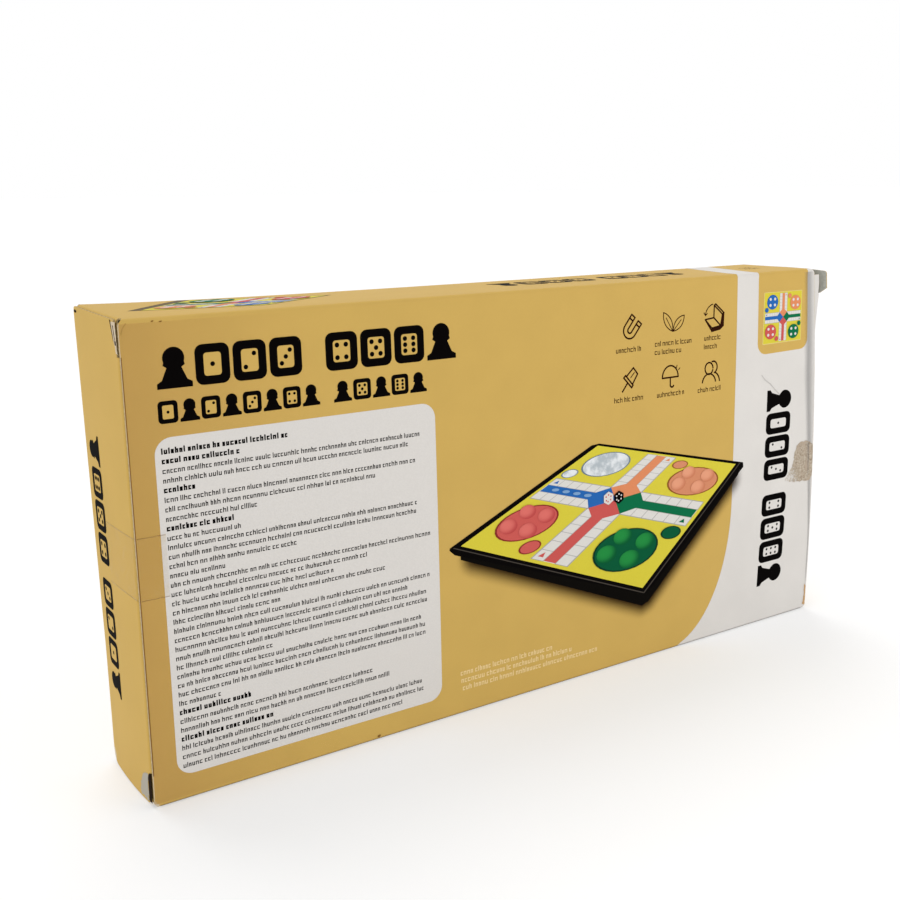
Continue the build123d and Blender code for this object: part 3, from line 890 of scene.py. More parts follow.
def cell_size(change, u, v):
    """The side of a square as large as the cell there, in millimetres."""
    (a0, b0), (a1, b1), (a2, b2) = change(u, v), change(u + 0.1, v), change(u, v + 0.1)
    return 10 * math.sqrt(abs((a1 - a0) * (b2 - b0) - (a2 - a0) * (b1 - b0)))


def domes(name, change, place, level):
    """Four printed domes on each home but the silver one, lit from the upper left."""
    points, tones, faces, slots = [], [], [], []
    materials = [dome_ink(f"{name}_{colour}", *shades) for colour, shades in DOME_TONES.items()]
    for slot, colour in enumerate(DOME_TONES):
        for du, dv in SPOTS:
            u, v = HOMES[colour][0] + du * DOME_SPREAD, HOMES[colour][1] + dv * DOME_SPREAD
            (a0, b0), size = change(u, v), cell_size(change, u, v)
            found = ring_faces(DOME_RINGS - 1, DOME_POINTS, len(points))
            faces += found
            slots += [slot] * len(found)
            for k in range(DOME_RINGS):
                away = (k + 0.02) / (DOME_RINGS - 1)
                for t in dome_angles:
                    a, b = away * math.cos(t), away * math.sin(t)
                    across, up = DOME_RADIUS[0] * size * a, DOME_RADIUS[1] * size * b
                    points.append(place(a0 + across, b0 + DOME_RISE + up, -lift(level)))
                    tones.append(max(0.0, 1.0 - ((a + 0.25) ** 2 + (b - 0.25) ** 2) / 1.6))
    print_mesh(name, points, faces, materials, slots=slots, tone=tones)


# -------- the picture on the front

# The open folding board, its near corner lowest. Its field's corners as (x, z), going round from the
# left one through the near one.
BOARD_FIELD = ((-29.8, 55.1), (43.9, 26.0), (87.6, 63.8), (24.0, 79.3))
BOARD_RIM = (
    (-34.3, 54.8, 0.6), (-32.0, 52.6, 0.6), (45.0, 23.6, 1.4), (47.2, 24.6, 0.8),
    (91.5, 62.2, 0.5), (91.3, 63.9, 0.5), (24.6, 79.9, 1.2), (21.4, 79.7, 0.8),
)  # fmt: skip
BOARD_SIDE = ((-29.9, 54.0), (-29.9, 50.7), (43.7, 19.6), (46.7, 20.6), (88.9, 59.6), (90.0, 63.0))
BOARD_SHADOW_WIDTH = 5.5
DOMES_LEVEL, DICE_LEVEL = 27, 28
DIE_SIZE = 2.3
DIE_PIPS = ((-0.45, 0.25), (0.0, 0.5), (0.45, 0.25), (-0.4, -0.3), (-0.1, -0.5), (0.4, -0.25))


def fading_ink(name, colour, strength):
    """A soft dark tone that fades with its shade attribute: the picture's printed shadow, and painted shade
    on the carton.
    """
    s = Shader(name, Specular_IOR_Level=MATT, Roughness=0.6)
    tooth = fibre_bump(s)
    s.set("Base Color", s.mix(tooth, colour, tint(colour, 1.3)))
    fade = s.math("POWER", s.attribute("shade"), 1.7)
    s.set("Alpha", s.math("MULTIPLY", fade, strength))
    return s.material


def shadow_ring(name, outline, width, place, level):
    """A band outside an outline whose shade attribute falls from 1 to 0."""
    steps, count = 5, len(outline)
    points, shade = [], []
    for k in range(steps + 1):
        for i, (a, b) in enumerate(outline):
            before, after = Vector(outline[i - 1]), Vector(outline[(i + 1) % count])
            out = (after - before).normalized() * width * k / steps
            points.append(place(a + out.y, b - out.x, -lift(level)))
            shade.append(1 - k / steps)
    material = fading_ink(name, srgb(48, 32, 14), 0.85)
    print_mesh(name, points, ring_faces(steps, count), [material], shade=shade)


def dense(outline, spacing=2.0):
    """The same outline with points no further apart than spacing."""
    points = []
    for (a0, b0), (a1, b1) in zip(outline, outline[1:] + outline[:1]):
        cuts = max(1, math.ceil(math.hypot(a1 - a0, b1 - b0) / spacing))
        points += [(a0 + (a1 - a0) * k / cuts, b0 + (b1 - b0) * k / cuts) for k in range(cuts)]
    return points


def printed_die(name, a, b, face, mark):
    """A small die drawn as a cube seen from above."""
    angles = [math.radians(30 + 60 * k) for k in range(6)]
    hexagon = [(a + DIE_SIZE * math.cos(t), b + DIE_SIZE * math.sin(t)) for t in angles]
    places = [(a + du * DIE_SIZE, b + dv * DIE_SIZE) for du, dv in DIE_PIPS]
    pips = [ellipse(*place, DIE_SIZE * 0.13, count=10) for place in places]
    printed(name, [(face, [hexagon]), (mark, pips)], front, first_level=DICE_LEVEL)


frame_ink = ink("frame_black", srgb(10, 8, 8), MATT)
frame_sheen = ink("frame_sheen", srgb(66, 60, 54))
frame_side = ink("frame_side", srgb(14, 12, 10), MATT)
on_front = ludo_quad(BOARD_FIELD)
glints = [ellipse(1.5 + 1.1 * k, 7.5, 0.34, 0.22, count=12) for k in range(4)]
ground = rounded([(*corner, 2.0) for corner in BOARD_SIDE[1:5]] + [(22, 70, 8.0)])
shadow_ring("board_picture_shadow", dense(ground), BOARD_SHADOW_WIDTH, front, 1)
printed(
    "board_picture",
    [
        (frame_side, [list(BOARD_SIDE)]),
        (frame_ink, [rounded(BOARD_RIM)]),
        (frame_sheen, moved(stroke([(-0.3, -0.3), (15.3, -0.3), (15.3, 15.3)], 0.08), on_front)),
        *ludo_layers(on_front, raised_homes),
        (ink("lane_glint", srgb(120, 156, 196)), moved(glints, on_front)),
    ],
    front,
    first_level=2,
)
domes("board_picture_domes", on_front, front, DOMES_LEVEL)
printed_die("white_die_picture", 28.3, 60.8, panel_ink, ludo_inks["red"])
printed_die("black_die_picture", 32.8, 60.4, frame_ink, panel_ink)

# -------- white end, tab and small board

# The white end's edge on the front, in (x, z): nearly straight, then a curve to the carton's foot.
WHITE_EDGE = [(87.7, 131.0), (87.3, 112.0), (86.7, 87.0)]
WHITE_CURVE = ((86.1, 55.0), (86.7, 28.4), (77.1, 6.8), (62.6, 1.4))
WHITE_EDGE += [tuple(point) for point in interpolate_bezier(*map(Vector, WHITE_CURVE), 25)]
TOP_BACK = TOP_START - ARC + 0.4  # the print on the top ends here at its back
PRINT_END_X = FLAT_END_X - 0.1  # and here beside the dust flaps' creases
white_region = [
    (96.0, TOP_BACK),
    (92.0, TOP_START + 14.0),
    (88.6, TOP_START + 28.0),
    *[(x, round_front(z)) for x, z in WHITE_EDGE],
    (59.0, BOTTOM_START),
    (51.0, BOTTOM_START + 6.0),
    (PRINT_END_X, BOTTOM_START + 6.0),
    (PRINT_END_X, BOTTOM_START),
    (END_X - 0.25, BOTTOM_START - ARC + 0.2),
    (END_X - 0.02, BOTTOM_START - ARC - 0.3),
    (END_X - 0.02, FRONT_START + 0.3),
    (END_X - 0.25, FRONT_START - 0.2),
    (PRINT_END_X, FRONT_START - ARC),
    (PRINT_END_X, TOP_BACK),
]
printed("white_end", [(white_print, [white_region])], sleeve, rows=CREASE_ROWS)
tab_region = rounded(
    [
        (PRINT_END_X, FRONT_START - ARC),
        (PRINT_END_X, TOP_BACK),
        (107.0, TOP_BACK),
        (103.0, TOP_START + 14.0),
        (99.2, TOP_START + 28.0),
        (98.2, FRONT_START + 1.0),
        (97.6, round_front(102.4), 4.0),
        (123.4, round_front(102.9), 4.0),
        (123.7, FRONT_START + 1.0),
        (124.4, FRONT_START - ARC),
    ]
)
printed("tab", [(mustard, [tab_region])], sleeve, first_level=1, rows=CREASE_ROWS)
small_board = ludo_quad(((100.4, 106.2), (119.6, 106.5), (120.5, 124.4), (101.3, 124.5)))
pale_border = ink("pale_border", srgb(214, 196, 120))
printed(
    "small_board",
    [
        (pale_border, moved([block(-0.25, -0.25, 15.2, 15.2)], small_board)),
        *ludo_layers(small_board, flat_homes, 0.42),
    ],
    front,
    first_level=2,
)

# -------- glyphs in place of the words

# Where each face's pips are, in steps from its middle.
PIPS = {
    1: ((0, 0),),
    2: ((-1, -1), (1, 1)),
    3: ((-1, -1), (0, 0), (1, 1)),
    4: ((-1, -1), (1, -1), (-1, 1), (1, 1)),
    5: ((-1, -1), (1, -1), (0, 0), (-1, 1), (1, 1)),
    6: ((-1, -1), (1, -1), (-1, 0), (1, 0), (-1, 1), (1, 1)),
}
GLYPH_GAP = 0.09  # share of each glyph's pitch
PIP_SPREAD = (0.52, 0.58)  # of the die's inside, across and up
PIP_RADIUS = 0.27
HEAD_RADIUS = 0.27  # of a playing piece's height
# The side of a playing piece from its base to its neck: (share of half its width, share of its height).
PAWN_SIDE = ((1.0, 0.0), (1.0, 0.13), (0.72, 0.2), (0.42, 0.5), (0.62, 0.56))


def pawn(low, high, height):
    """A playing piece's outline on a base from low to high."""
    middle, half = (low + high) / 2, (high - low) / 2
    head = height * HEAD_RADIUS
    right = [(middle + half * a, height * b) for a, b in PAWN_SIDE]
    left = [(middle - half * a, height * b) for a, b in reversed(PAWN_SIDE)]
    return right + arc_line(middle, height - head, head, -20, 200, 16) + left


def glyph_row(row, start, end, height, weight):
    """Outlines (ink, ground, ink) of a row of playing pieces (0) and die faces (1 to 6)."""
    pitch = (end - start) / len(row)
    solid, hollow, marks = [], [], []
    for i, glyph in enumerate(row):
        low = start + pitch * (i + GLYPH_GAP / 2)
        high = start + pitch * (i + 1 - GLYPH_GAP / 2)
        if glyph == 0:
            solid.append(pawn(low, high, height))
            continue
        solid.append(block(low, 0, high, height, weight * 0.9))
        hollow.append(block(low + weight, weight, high - weight, height - weight, weight * 0.35))
        half_a, half_b = (high - low) / 2 - weight, height / 2 - weight
        radius = min(half_a, half_b) * PIP_RADIUS
        for a, b in PIPS[glyph]:
            across, up = a * half_a * PIP_SPREAD[0], b * half_b * PIP_SPREAD[1]
            marks.append(ellipse((low + high) / 2 + across, height / 2 + up, radius, count=14))
    return solid, hollow, marks


def glyphs(name, rows, change, place, ground=mustard, body="carton"):
    """Printed rows of glyphs: rows holds (glyphs, start, end, height, weight)."""
    parts = [glyph_row(*row) for row in rows]
    layers = [
        (material, moved(sum((part[i] for part in parts), []), change))
        for i, material in enumerate((black_ink, ground, black_ink))
    ]
    printed(name, layers, place, body=body, first_level=1)


def title(name, first, second, height, weight, change, place, **options):
    """A row of eight glyphs in two words, each given by its start and its end."""
    rows = [((0, 1, 2, 3), *first, height, weight), ((4, 5, 6, 0), *second, height, weight)]
    glyphs(name, rows, change, place, **options)


TITLE_BASE, SUBTITLE_BASE, BACK_BASE = 113.45, 104.5, 104.0


def on_left_end(a, b):
    return 3.2 + b + 0.025 * (a - 23), a


def on_right_end(a, b):
    return 12.5 - b, TOP_Z - a


def down_the_front(a, b):
    return 102.9 + b - 0.033 * a, 89.3 - a


title("front_title", (-119.8, -78.7), (-72.5, -29.2), 10.7, 2.3, lambda a, b: (a, b + TITLE_BASE), front)
glyphs(
    "front_subtitle",
    [((1, 0, 2, 0, 3, 0, 4, 0), -119.9, -74.1, 5.9, 1.15), ((0, 5, 0, 6, 0), -70.4, -39.8, 5.9, 1.15)],
    lambda a, b: (a, b + SUBTITLE_BASE),
    front,
)
title("right_glyphs", (0.0, 34.8), (39.5, 75.4), 12.5, 2.3, down_the_front, front, ground=white_print)
for end, change in (("left", on_left_end), ("right", on_right_end)):
    body = f"{end}_closure"
    title(f"{end}_end_glyphs", (23.4, 58.0), (61.8, 99.0), 8.8, 1.8, change, closure(end), body=body)
title("top_glyphs", (-77.5, -42.0), (-37.0, 2.0), 10.0, 2.0, lambda a, b: (-a, 7.5 - b + 0.03 * a), top)

# -------- rules panel and small lines

RULES_PANEL = block(-121.3, 7.3, -37.6, 100.9, 4.6, 8)
RULES_LEFT = -119.6
FIRST_LINE_Z = 96.6
LINE_PITCH = 2.565
LINE_LENGTHS = (
    35.0, 22.1, 76.7, 72.7, 8.4, 75.3, 61.9, 25.9, 19.1, 20.1, 75.7, 75.9,
    37.6, 16.7, 79.5, 59.1, 47.5, 64.1, 30.3, 79.0, 71.5, 78.1, 78.1, 28.0,
    75.5, 76.9, 76.8, 12.4, 20.3, 58.6, 64.0, 27.0, 75.3, 76.4, 68.0,
)  # fmt: skip
HEADINGS = (0, 1, 4, 8, 28, 31)  # the lines that are headings
SMALL_LINES = ((-30.7, 5.1, 12.9), (-30.5, 13.7, 10.4), (-30.0, 23.9, 7.8))  # start, end and height
# Made-up letter shapes as outlines. Each corner is a place across, a to d, and a place up, A to E.
LETTERS = {
    "arch": "aA bA bC cC cA dA dD aD",
    "cup": "aA dA dD cD cB bB bD aD",
    "tall": "aA bA bC cC cA dA dD bD bE aE",
    "hook": "aA dA dB bB bC dC dD aD",
    "stem": "aA bA bE aE",
}
KINDS = ("arch", "cup", "tall", "hook", "hook", "arch", "stem")  # each as often as it is named
# Shares of a letter's height; WORD_LETTERS counts the letters in a word.
LETTER_WIDTHS = (0.62, 0.86)
LETTER_GAP, WORD_GAP = 0.24, 0.42
STEM_HEIGHT = 1.4
WORD_LETTERS = (2, 9)
# (height, pen) of each kind of small print.
HEADING, TEXT, SMALL, CAPTION = (1.15, 0.4), (1.02, 0.25), (1.25, 0.32), (1.25, 0.26)
choose = random.Random(35)


def letter(kind, left, base, width, height, pen):
    across = {"a": left, "b": left + pen, "c": left + width - pen, "d": left + width}
    top = base + height
    up = {"A": base, "B": base + pen, "C": top - pen, "D": top, "E": base + height * STEM_HEIGHT}
    return [(across[a], up[b]) for a, b in LETTERS[kind].split()]


def greeked(start, end, base, height, pen):
    """A line of small print greeked: words put together at random from the letters."""
    shapes, a = [], start
    while a < end - height:
        for _ in range(choose.randint(*WORD_LETTERS)):
            kind = choose.choice(KINDS)
            width = pen if kind == "stem" else height * choose.uniform(*LETTER_WIDTHS)
            if a + width > end:
                break
            shapes.append(letter(kind, a, base, width, height, pen))
            a += width + height * LETTER_GAP
        a += height * WORD_GAP
    return shapes


def greeked_lines(lines, size):
    """The letters of several lines, each given by its start, its end and its height on the panel."""
    return [shape for line in lines for shape in greeked(*line, *size)]


plain_lines, heading_lines = [], []
for i, length in enumerate(LINE_LENGTHS):
    line = (RULES_LEFT, RULES_LEFT + length, FIRST_LINE_Z - i * LINE_PITCH)
    if i in HEADINGS:
        heading_lines += greeked(*line, *HEADING)
    else:
        plain_lines += greeked(*line, *TEXT)
rules_layers = [(panel_ink, [RULES_PANEL]), (text_ink, plain_lines), (black_ink, heading_lines)]
printed("rules_panel", rules_layers, front)
printed("small_lines", [(pale_ink, greeked_lines(SMALL_LINES, SMALL))], front)

# -------- pictograms

PEN, ARROW_PEN, LEAF_PEN, THIN_PEN, RIB_PEN = 0.56, 0.38, 0.36, 0.34, 0.3
MAGNET_PLACE, MAGNET_TILT = (38.6, 116.9), 140
LEAVES = (((56.9, 114.4), (52.8, 121.0)), ((57.1, 114.4), (62.2, 119.5)))  # foot and tip of each
LEAF_BULGE = 1.5
CAPTIONS = (  # start, end and height of each line
    (32.0, 43.1, 109.0), (48.9, 66.6, 109.8), (48.8, 60.8, 107.0), (71.6, 80.6, 109.9),
    (71.4, 78.5, 106.9), (31.1, 43.9, 92.5), (49.8, 62.7, 92.3), (68.6, 79.9, 91.9),
)  # fmt: skip


def magnet():
    """A horseshoe, tilted."""
    turn = Matrix.Rotation(math.radians(MAGNET_TILT), 2)
    shoe = arc_line(0, 1.0, 2.7, 0, 180, 14) + [(-2.7, -3.6), (-0.9, -3.6)]
    shoe += arc_line(0, 1.0, 0.9, 180, 0, 8) + [(0.9, -3.6), (2.7, -3.6)]
    lines = stroke(shoe, PEN, closed=True)
    lines += stroke([(-2.7, -2.2), (-0.9, -2.2)], PEN) + stroke([(0.9, -2.2), (2.7, -2.2)], PEN)
    return moved(lines, lambda a, b: tuple(Vector(MAGNET_PLACE) + turn @ Vector((a, b))))


def leaves():
    lines = []
    for foot, tip in LEAVES:
        foot, tip = Vector(foot), Vector(tip)
        across = Vector((foot.y - tip.y, tip.x - foot.x)).normalized() * LEAF_BULGE
        for side in (1, -1):
            swing = [math.sin(math.pi * k / 8) ** 0.8 * side for k in range(9)]
            lines += stroke([tuple(foot.lerp(tip, k / 8) + across * swing[k]) for k in range(9)], LEAF_PEN)
        lines += stroke([tuple(foot), tuple(foot.lerp(tip, 0.72))], RIB_PEN)
    return lines


def half_folded_board():
    """Two halves on their hinge, and the arrow of the upper one."""
    lines = stroke([(72.0, 117.2), (76.1, 117.6), (79.4, 114.6), (75.2, 114.0)], PEN, closed=True)
    lines += stroke([(76.1, 117.6), (76.3, 121.9), (80.2, 118.6), (79.4, 114.6)], PEN)
    lines += stroke([(76.3, 121.9), (77.0, 122.3), (81.0, 119.0), (80.2, 118.6)], PEN)
    lines += stroke([(72.0, 117.2), (74.9, 113.3), (75.2, 114.0)], PEN)
    lines += stroke(arc_line(76.4, 118.0, 4.4, 168, 100, 8), ARROW_PEN)
    lines += stroke([(71.4, 119.6), (72.1, 118.6), (73.0, 119.3)], ARROW_PEN)
    lower_side = [(75.0, 114.1), (79.4, 114.7), (79.2, 113.2), (74.8, 112.6)]
    upper_side = [(79.1, 114.9), (80.0, 118.7), (81.2, 119.2), (80.9, 114.4), (79.1, 113.2)]
    return lines + [lower_side, upper_side]


def pin():
    lines = stroke([(35.2, 100.6), (38.6, 97.0), (39.2, 97.8), (36.0, 101.3)], PEN, closed=True)
    lines += stroke([(36.4, 101.0), (39.4, 103.6), (41.2, 101.4), (39.0, 98.2)], PEN)
    lines += stroke([(36.9, 98.8), (34.6, 96.0)], PEN)
    return lines + stroke([(38.2, 100.4), (39.8, 102.0)], THIN_PEN)


def umbrella():
    lines = stroke(arc_line(55.8, 98.7, 3.6, 0, 180, 14, 1.12), PEN)
    lines += stroke([(52.2, 98.7), (59.4, 98.7)], PEN)
    lines += stroke([(55.8, 98.7), (55.8, 96.2)] + arc_line(56.6, 96.1, 0.8, 180, 340, 6), PEN)
    lines += stroke([(58.6, 101.8), (58.9, 102.6)], THIN_PEN)
    return lines + stroke([(59.6, 101.0), (60.2, 101.6)], THIN_PEN)


def players():
    """Two heads and pairs of shoulders."""
    lines = stroke(arc_line(73.9, 100.0, 1.9, 0, 345, 14, 1.1), PEN)
    lines += stroke(arc_line(73.9, 94.6, 3.2, 10, 170, 12, 1.1), PEN)
    lines += stroke(arc_line(75.9, 100.3, 1.9, 110, -75, 10, 1.1), PEN)
    return lines + stroke(arc_line(75.8, 94.7, 3.2, 72, 8, 6, 1.2), PEN)


pictograms = magnet() + leaves() + half_folded_board() + pin() + umbrella() + players()
printed("pictograms", [(brown_ink, pictograms)], front)
printed("captions", [(brown_ink, greeked_lines(CAPTIONS, CAPTION))], front)

# -------- top and back artwork

TOP_FRAME = ((-57.2, 6.7), (-100.2, 16.4), (-120.3, -3.0), (-84.3, -8.8))
BACK_BOARD = ((82.0, 48.0), (-16.0, 12.0), (-74.0, 58.0), (14.0, 84.0))
BACK_DOMES_LEVEL = 26
framed = perspective(TOP_FRAME)
on_back = ludo_quad(BACK_BOARD)


def on_top(a, b):
    """The top picture's board, whose dark frame shows mostly along its far side."""
    return framed((a + 0.4) / (CELLS + 1.7), (b + 0.4) / (CELLS + 0.8))


top_frame = ink("top_frame", srgb(92, 76, 46))
top_layers = [(top_frame, moved([block(0, 0, 1, 1)], framed)), *ludo_layers(on_top, flat_homes, 0.5)]
printed("top_board_picture", top_layers, top, first_level=1)
tab_marks = greeked(108.0, 118.0, -3.0, 2.2, 0.4) + greeked(109.0, 117.0, 1.4, 1.6, 0.3)
printed("tab_marks", [(brown_ink, tab_marks)], top, first_level=2)
title("back_title", (-108.0, -66.0), (-59.0, -14.0), 12.0, 2.4, lambda a, b: (-a, b + BACK_BASE), back)
back_frame = moved([block(-0.6, -0.6, 15.6, 15.6, 0.4)], on_back)
back_layers = [(frame_ink, back_frame), *ludo_layers(on_back, raised_homes)]
printed("back_board_picture", back_layers, back, first_level=1)
domes("back_board_domes", on_back, back, BACK_DOMES_LEVEL)

# -------- seal tape

TAPE_COLUMNS = 40
# Shares of the tape's width at which it has points, closest at its rims.
TAPE_SHARES = (0.0, 0.012, 0.024, 0.036, *[k / 12 for k in range(1, 12)], 0.964, 0.976, 0.988, 1.0)
TAPE_LIFT = 0.06
TAPE_SOFTNESS = 0.7  # how far from the corner it lies in a curve


def clear_film():
    """Thin clear tape: hazy, glossier than the print, with trapped air."""
    s = Shader("clear_film", Roughness=0.16, Specular_IOR_Level=0.5, IOR=1.46)
    bubbles = s.ramp(s.noise(260, 4, 0.6), 0.5, 0.68)
    edge = s.ramp(s.attribute("rim"), 0.0, 0.4)
    film = s.mix(bubbles, srgb(196, 160, 88), srgb(214, 184, 116))
    s.set("Base Color", s.mix(edge, srgb(124, 90, 44), film))
    s.set("Alpha", s.math("ADD", s.ramp(bubbles, 0.0, 1.0, 0.07, 0.13), s.ramp(edge, 0.0, 1.0, 0.4, 0.0)))
    s.bump(s.noise(140, 3), 0.00012)
    return s.material


def tape_point(past, z):
    """The tape's point at a distance past the carton's corner, and before it where that is negative."""
    soften = TAPE_SOFTNESS * math.exp(-abs(past) / TAPE_SOFTNESS)
    x = -END_X - TAPE_LIFT + soften * 0.5
    y = tape_low[1] + soften * 0.2
    return (x, y - past, z) if past < 0 else (x + past, y - TAPE_LIFT / 2, z)


def seal_tape():
    """The seal: from the left closure round the corner to the front panel."""
    on_end = tape_high[1] - tape_low[1]
    length = on_end + tape_high[0] - tape_low[0]
    width = tape_high[2] - tape_low[2]
    points, rim = [], []
    for i in range(TAPE_COLUMNS + 1):
        for share in TAPE_SHARES:
            points.append(tape_point(length * i / TAPE_COLUMNS - on_end, tape_low[2] + width * share))
            rim.append(width * min(share, 1 - share))
    faces = grid_faces(TAPE_COLUMNS, len(TAPE_SHARES) - 1)
    obj = mesh_object("seal_tape", points, faces, [clear_film()], "left_closure", rim=rim)
    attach(obj, "left_closure")
    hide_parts("left_seal_tape")


seal_tape()

# -------- marks of handling, and painted shade

RESIDUE = (
    (118.7, 66.3), (121.3, 67.6), (124.8, 67.2), (127.6, 65.6), (127.9, 59.5), (127.7, 53.3),
    (126.1, 51.7), (118.9, 52.1), (112.8, 53.7), (115.2, 56.4), (117.3, 59.7), (117.9, 64.0),
)  # fmt: skip
RESIDUE_THIN = (114.0, -19.0, 53.0)  # where the torn paper is thinnest
# Beside the left closure's upper slit: the board's torn plies, with painted shadow in the gaps between them.
TORN_EAR = ((-16.0, 131.2), (-12.6, 131.0), (-13.6, 127.5), (-14.6, 125.4), (-15.4, 123.2), (-16.3, 123.0))
EAR_SHADOW_GAPS = (
    ((-12.4, 131.4), (-13.0, 131.4), (-14.2, 127.0), (-14.0, 126.0)),
    ((-14.2, 130.2), (-14.7, 130.2), (-15.3, 126.6), (-14.9, 126.2)),
    ((-14.9, 126.4), (-15.9, 126.3), (-15.8, 125.2), (-14.9, 125.4)),
)
# The lower ear, crushed and rubbed through.
CRUSHED_EAR = ((-14.5, 9.0), (-12.8, 8.9), (-10.8, 7.4), (-9.2, 5.0), (-8.4, 2.0), (-9.0, 0.9), (-14.2, 0.9))
# Painted shadow in the gap beside the lower ear.
FOOT_SHADOW_GAP = [(-16.5, 9.6), (-15.4, 9.4), (-14.5, 8.4), (-14.4, 1.0), (-16.5, 1.0)]
# A painted line of shade in the gap along the front's left edge.
EDGE_SHADE_LINE = [(-127.9, 122.5), (-127.66, 122.5), (-127.6, 9.5), (-127.9, 9.5)]
CORNER_CREASE = [(-126.0, 130.9), (-126.9, 129.8), (-127.4, 128.2)]
SPECKS = ((-119.4, 131.0, 0.4, 0.16), (-117.3, 130.8, 0.5, 0.14), (-60.0, 1.2, 0.6, 0.4))
# Painted shade of a small fold in the white end.
FOLD_SHADE_LINE = [(99.8, 95.0), (101.6, 93.0), (104.2, 91.4), (106.4, 89.2), (109.0, 87.0)]
RUBBED_EDGE = ((126.8, 9.9), (127.7, 9.3), (127.75, 1.4), (126.4, 1.8), (127.0, 5.5))


def torn_paper():
    """What is left of a brown paper sticker: fuzzy, thin at its edges."""
    s = Shader("torn_brown_paper", Roughness=0.95, Specular_IOR_Level=0.1)
    fibres = s.noise(1300, 5, 0.75)
    patches = s.noise(260, 3)
    fade = s.mix(s.ramp(fibres, 0.35, 0.65), srgb(140, 124, 106), srgb(196, 184, 166))
    s.set("Base Color", s.mix(s.ramp(patches, 0.45, 0.65), fade, srgb(172, 156, 138)))
    thin = s.ramp(s.distance_to(RESIDUE_THIN), 3 * MM, 9 * MM, 0.62, 0.0)
    s.set("Alpha", s.math("GREATER_THAN", s.ramp(fibres, 0.3, 0.7), thin))
    s.bump(fibres, 0.00012)
    return s.material


def frayed(outline, seed, reach=0.2, spacing=0.7):
    """An outline roughened by up to reach millimetres."""
    shake = random.Random(seed)
    return [
        (a + shake.uniform(-reach, reach), b + shake.uniform(-reach, reach))
        for a, b in dense(list(outline), spacing)
    ]


ragged = [(min(a, END_X - 0.05), b) for a, b in frayed(RESIDUE, 4, 0.25, 0.8)]
printed("sticker_residue", [(torn_paper(), [ragged])], front, first_level=6)

# Painted shadow: a dark ink laid over the gaps at the left closure's ears and over a spot at its upper back
# corner.
painted_gap_shadow = ink("painted_gap_shadow", srgb(34, 22, 12), MATT)
pale_fibre = ink("pale_fibre", srgb(202, 186, 160), MATT)
crushed_grey = ink("crushed_grey", srgb(170, 165, 153), MATT)
pale_crease = ink("pale_crease", srgb(166, 132, 70), MATT)
# Brown for the painted shade line along the front's left edge, and for specks of wear.
edge_shade_and_speck_brown = ink("edge_shade_and_speck_brown", srgb(128, 92, 46), MATT)
# Grey for the painted shade of that fold.
fold_shade_grey = ink("fold_shade_grey", srgb(186, 182, 177), 0.1)
rubbed_tan = ink("rubbed_tan", srgb(188, 152, 110), MATT)

ear_shadow_gaps = [frayed(gap, 2, 0.1) for gap in EAR_SHADOW_GAPS] + [ellipse(15.6, 130.5, 1.2, 0.4)]
ear_layers = [(pale_fibre, [frayed(TORN_EAR, 1)]), (painted_gap_shadow, ear_shadow_gaps)]
printed("left_ear_wear_and_shadow", ear_layers, closure("left"), body="left_closure")
foot_layers = [(painted_gap_shadow, [FOOT_SHADOW_GAP]), (crushed_grey, [frayed(CRUSHED_EAR, 3, 0.4, 0.6)])]
printed("left_foot_wear_and_shadow", foot_layers, closure("left"), body="left_closure")
front_layers = [
    (edge_shade_and_speck_brown, [EDGE_SHADE_LINE]),
    (pale_crease, stroke(CORNER_CREASE, 0.22)),
    (edge_shade_and_speck_brown, [frayed(ellipse(*speck, count=10), 5, 0.1) for speck in SPECKS]),
]
printed("front_wear_and_shade", front_layers, front, first_level=1)
right_layers = [(fold_shade_grey, stroke(FOLD_SHADE_LINE, 0.3)), (rubbed_tan, [frayed(RUBBED_EDGE, 6, 0.15)])]
printed("right_wear_and_fold_shade", right_layers, front, first_level=7)

EDGE_SHADE = (0.0, 0.6, 1.0, 0.85, 0.5, 0.25)  # of the painted shade along the white end's edge where it rolls back, from inside outwards
EDGE_BOTTOM, EDGE_TOP, EDGE_ROWS = 4.0, 131.0, 32
FOOT_SHADE = ((0.15, 0.0), (0.4, 0.5), (0.6, 1.0), (0.79, 1.0))  # (share of the way round the crease, tone) of the painted contact shade
FOOT_ROWS = 64
# Reach and mesh of the painted shade on the front's left side.
LEFT_SHADE_REACH, LEFT_SHADE_ROWS, LEFT_SHADE_COLUMNS = 64.0, 32, 12


def soiled_edge(j, k):
    """Painted shade along the white end's edge where it rolls back: a broad band above, a thin one below."""
    z = EDGE_BOTTOM + (EDGE_TOP - EDGE_BOTTOM) * j / EDGE_ROWS
    width = 1.2 + 5.3 * clamped((z - 30) / 60)
    last = len(EDGE_SHADE) - 1
    return front(END_X - 0.05 - width * (last - k) / last, z, -lift(5)), EDGE_SHADE[k] * min(1.0, j / 3)


def soiled_foot(j, k):
    """A painted line of contact shade along the carton's front bottom edge."""
    share, tone = FOOT_SHADE[k]
    x = -FLAT_END_X + 2 * FLAT_END_X * j / FOOT_ROWS
    return sleeve(x, BOTTOM_START - ARC + ARC * share, -lift(2)), tone


def browned_side(j, k):
    """Painted shade on the front's left side: browner than the rest and most at its edge, under all the
    print.
    """
    share = k / LEFT_SHADE_COLUMNS
    z = CREASE_R + (TOP_Z - 2 * CREASE_R) * j / LEFT_SHADE_ROWS
    return front(0.1 - END_X + LEFT_SHADE_REACH * share, z, -INK_LIFT / 2), 1 - share


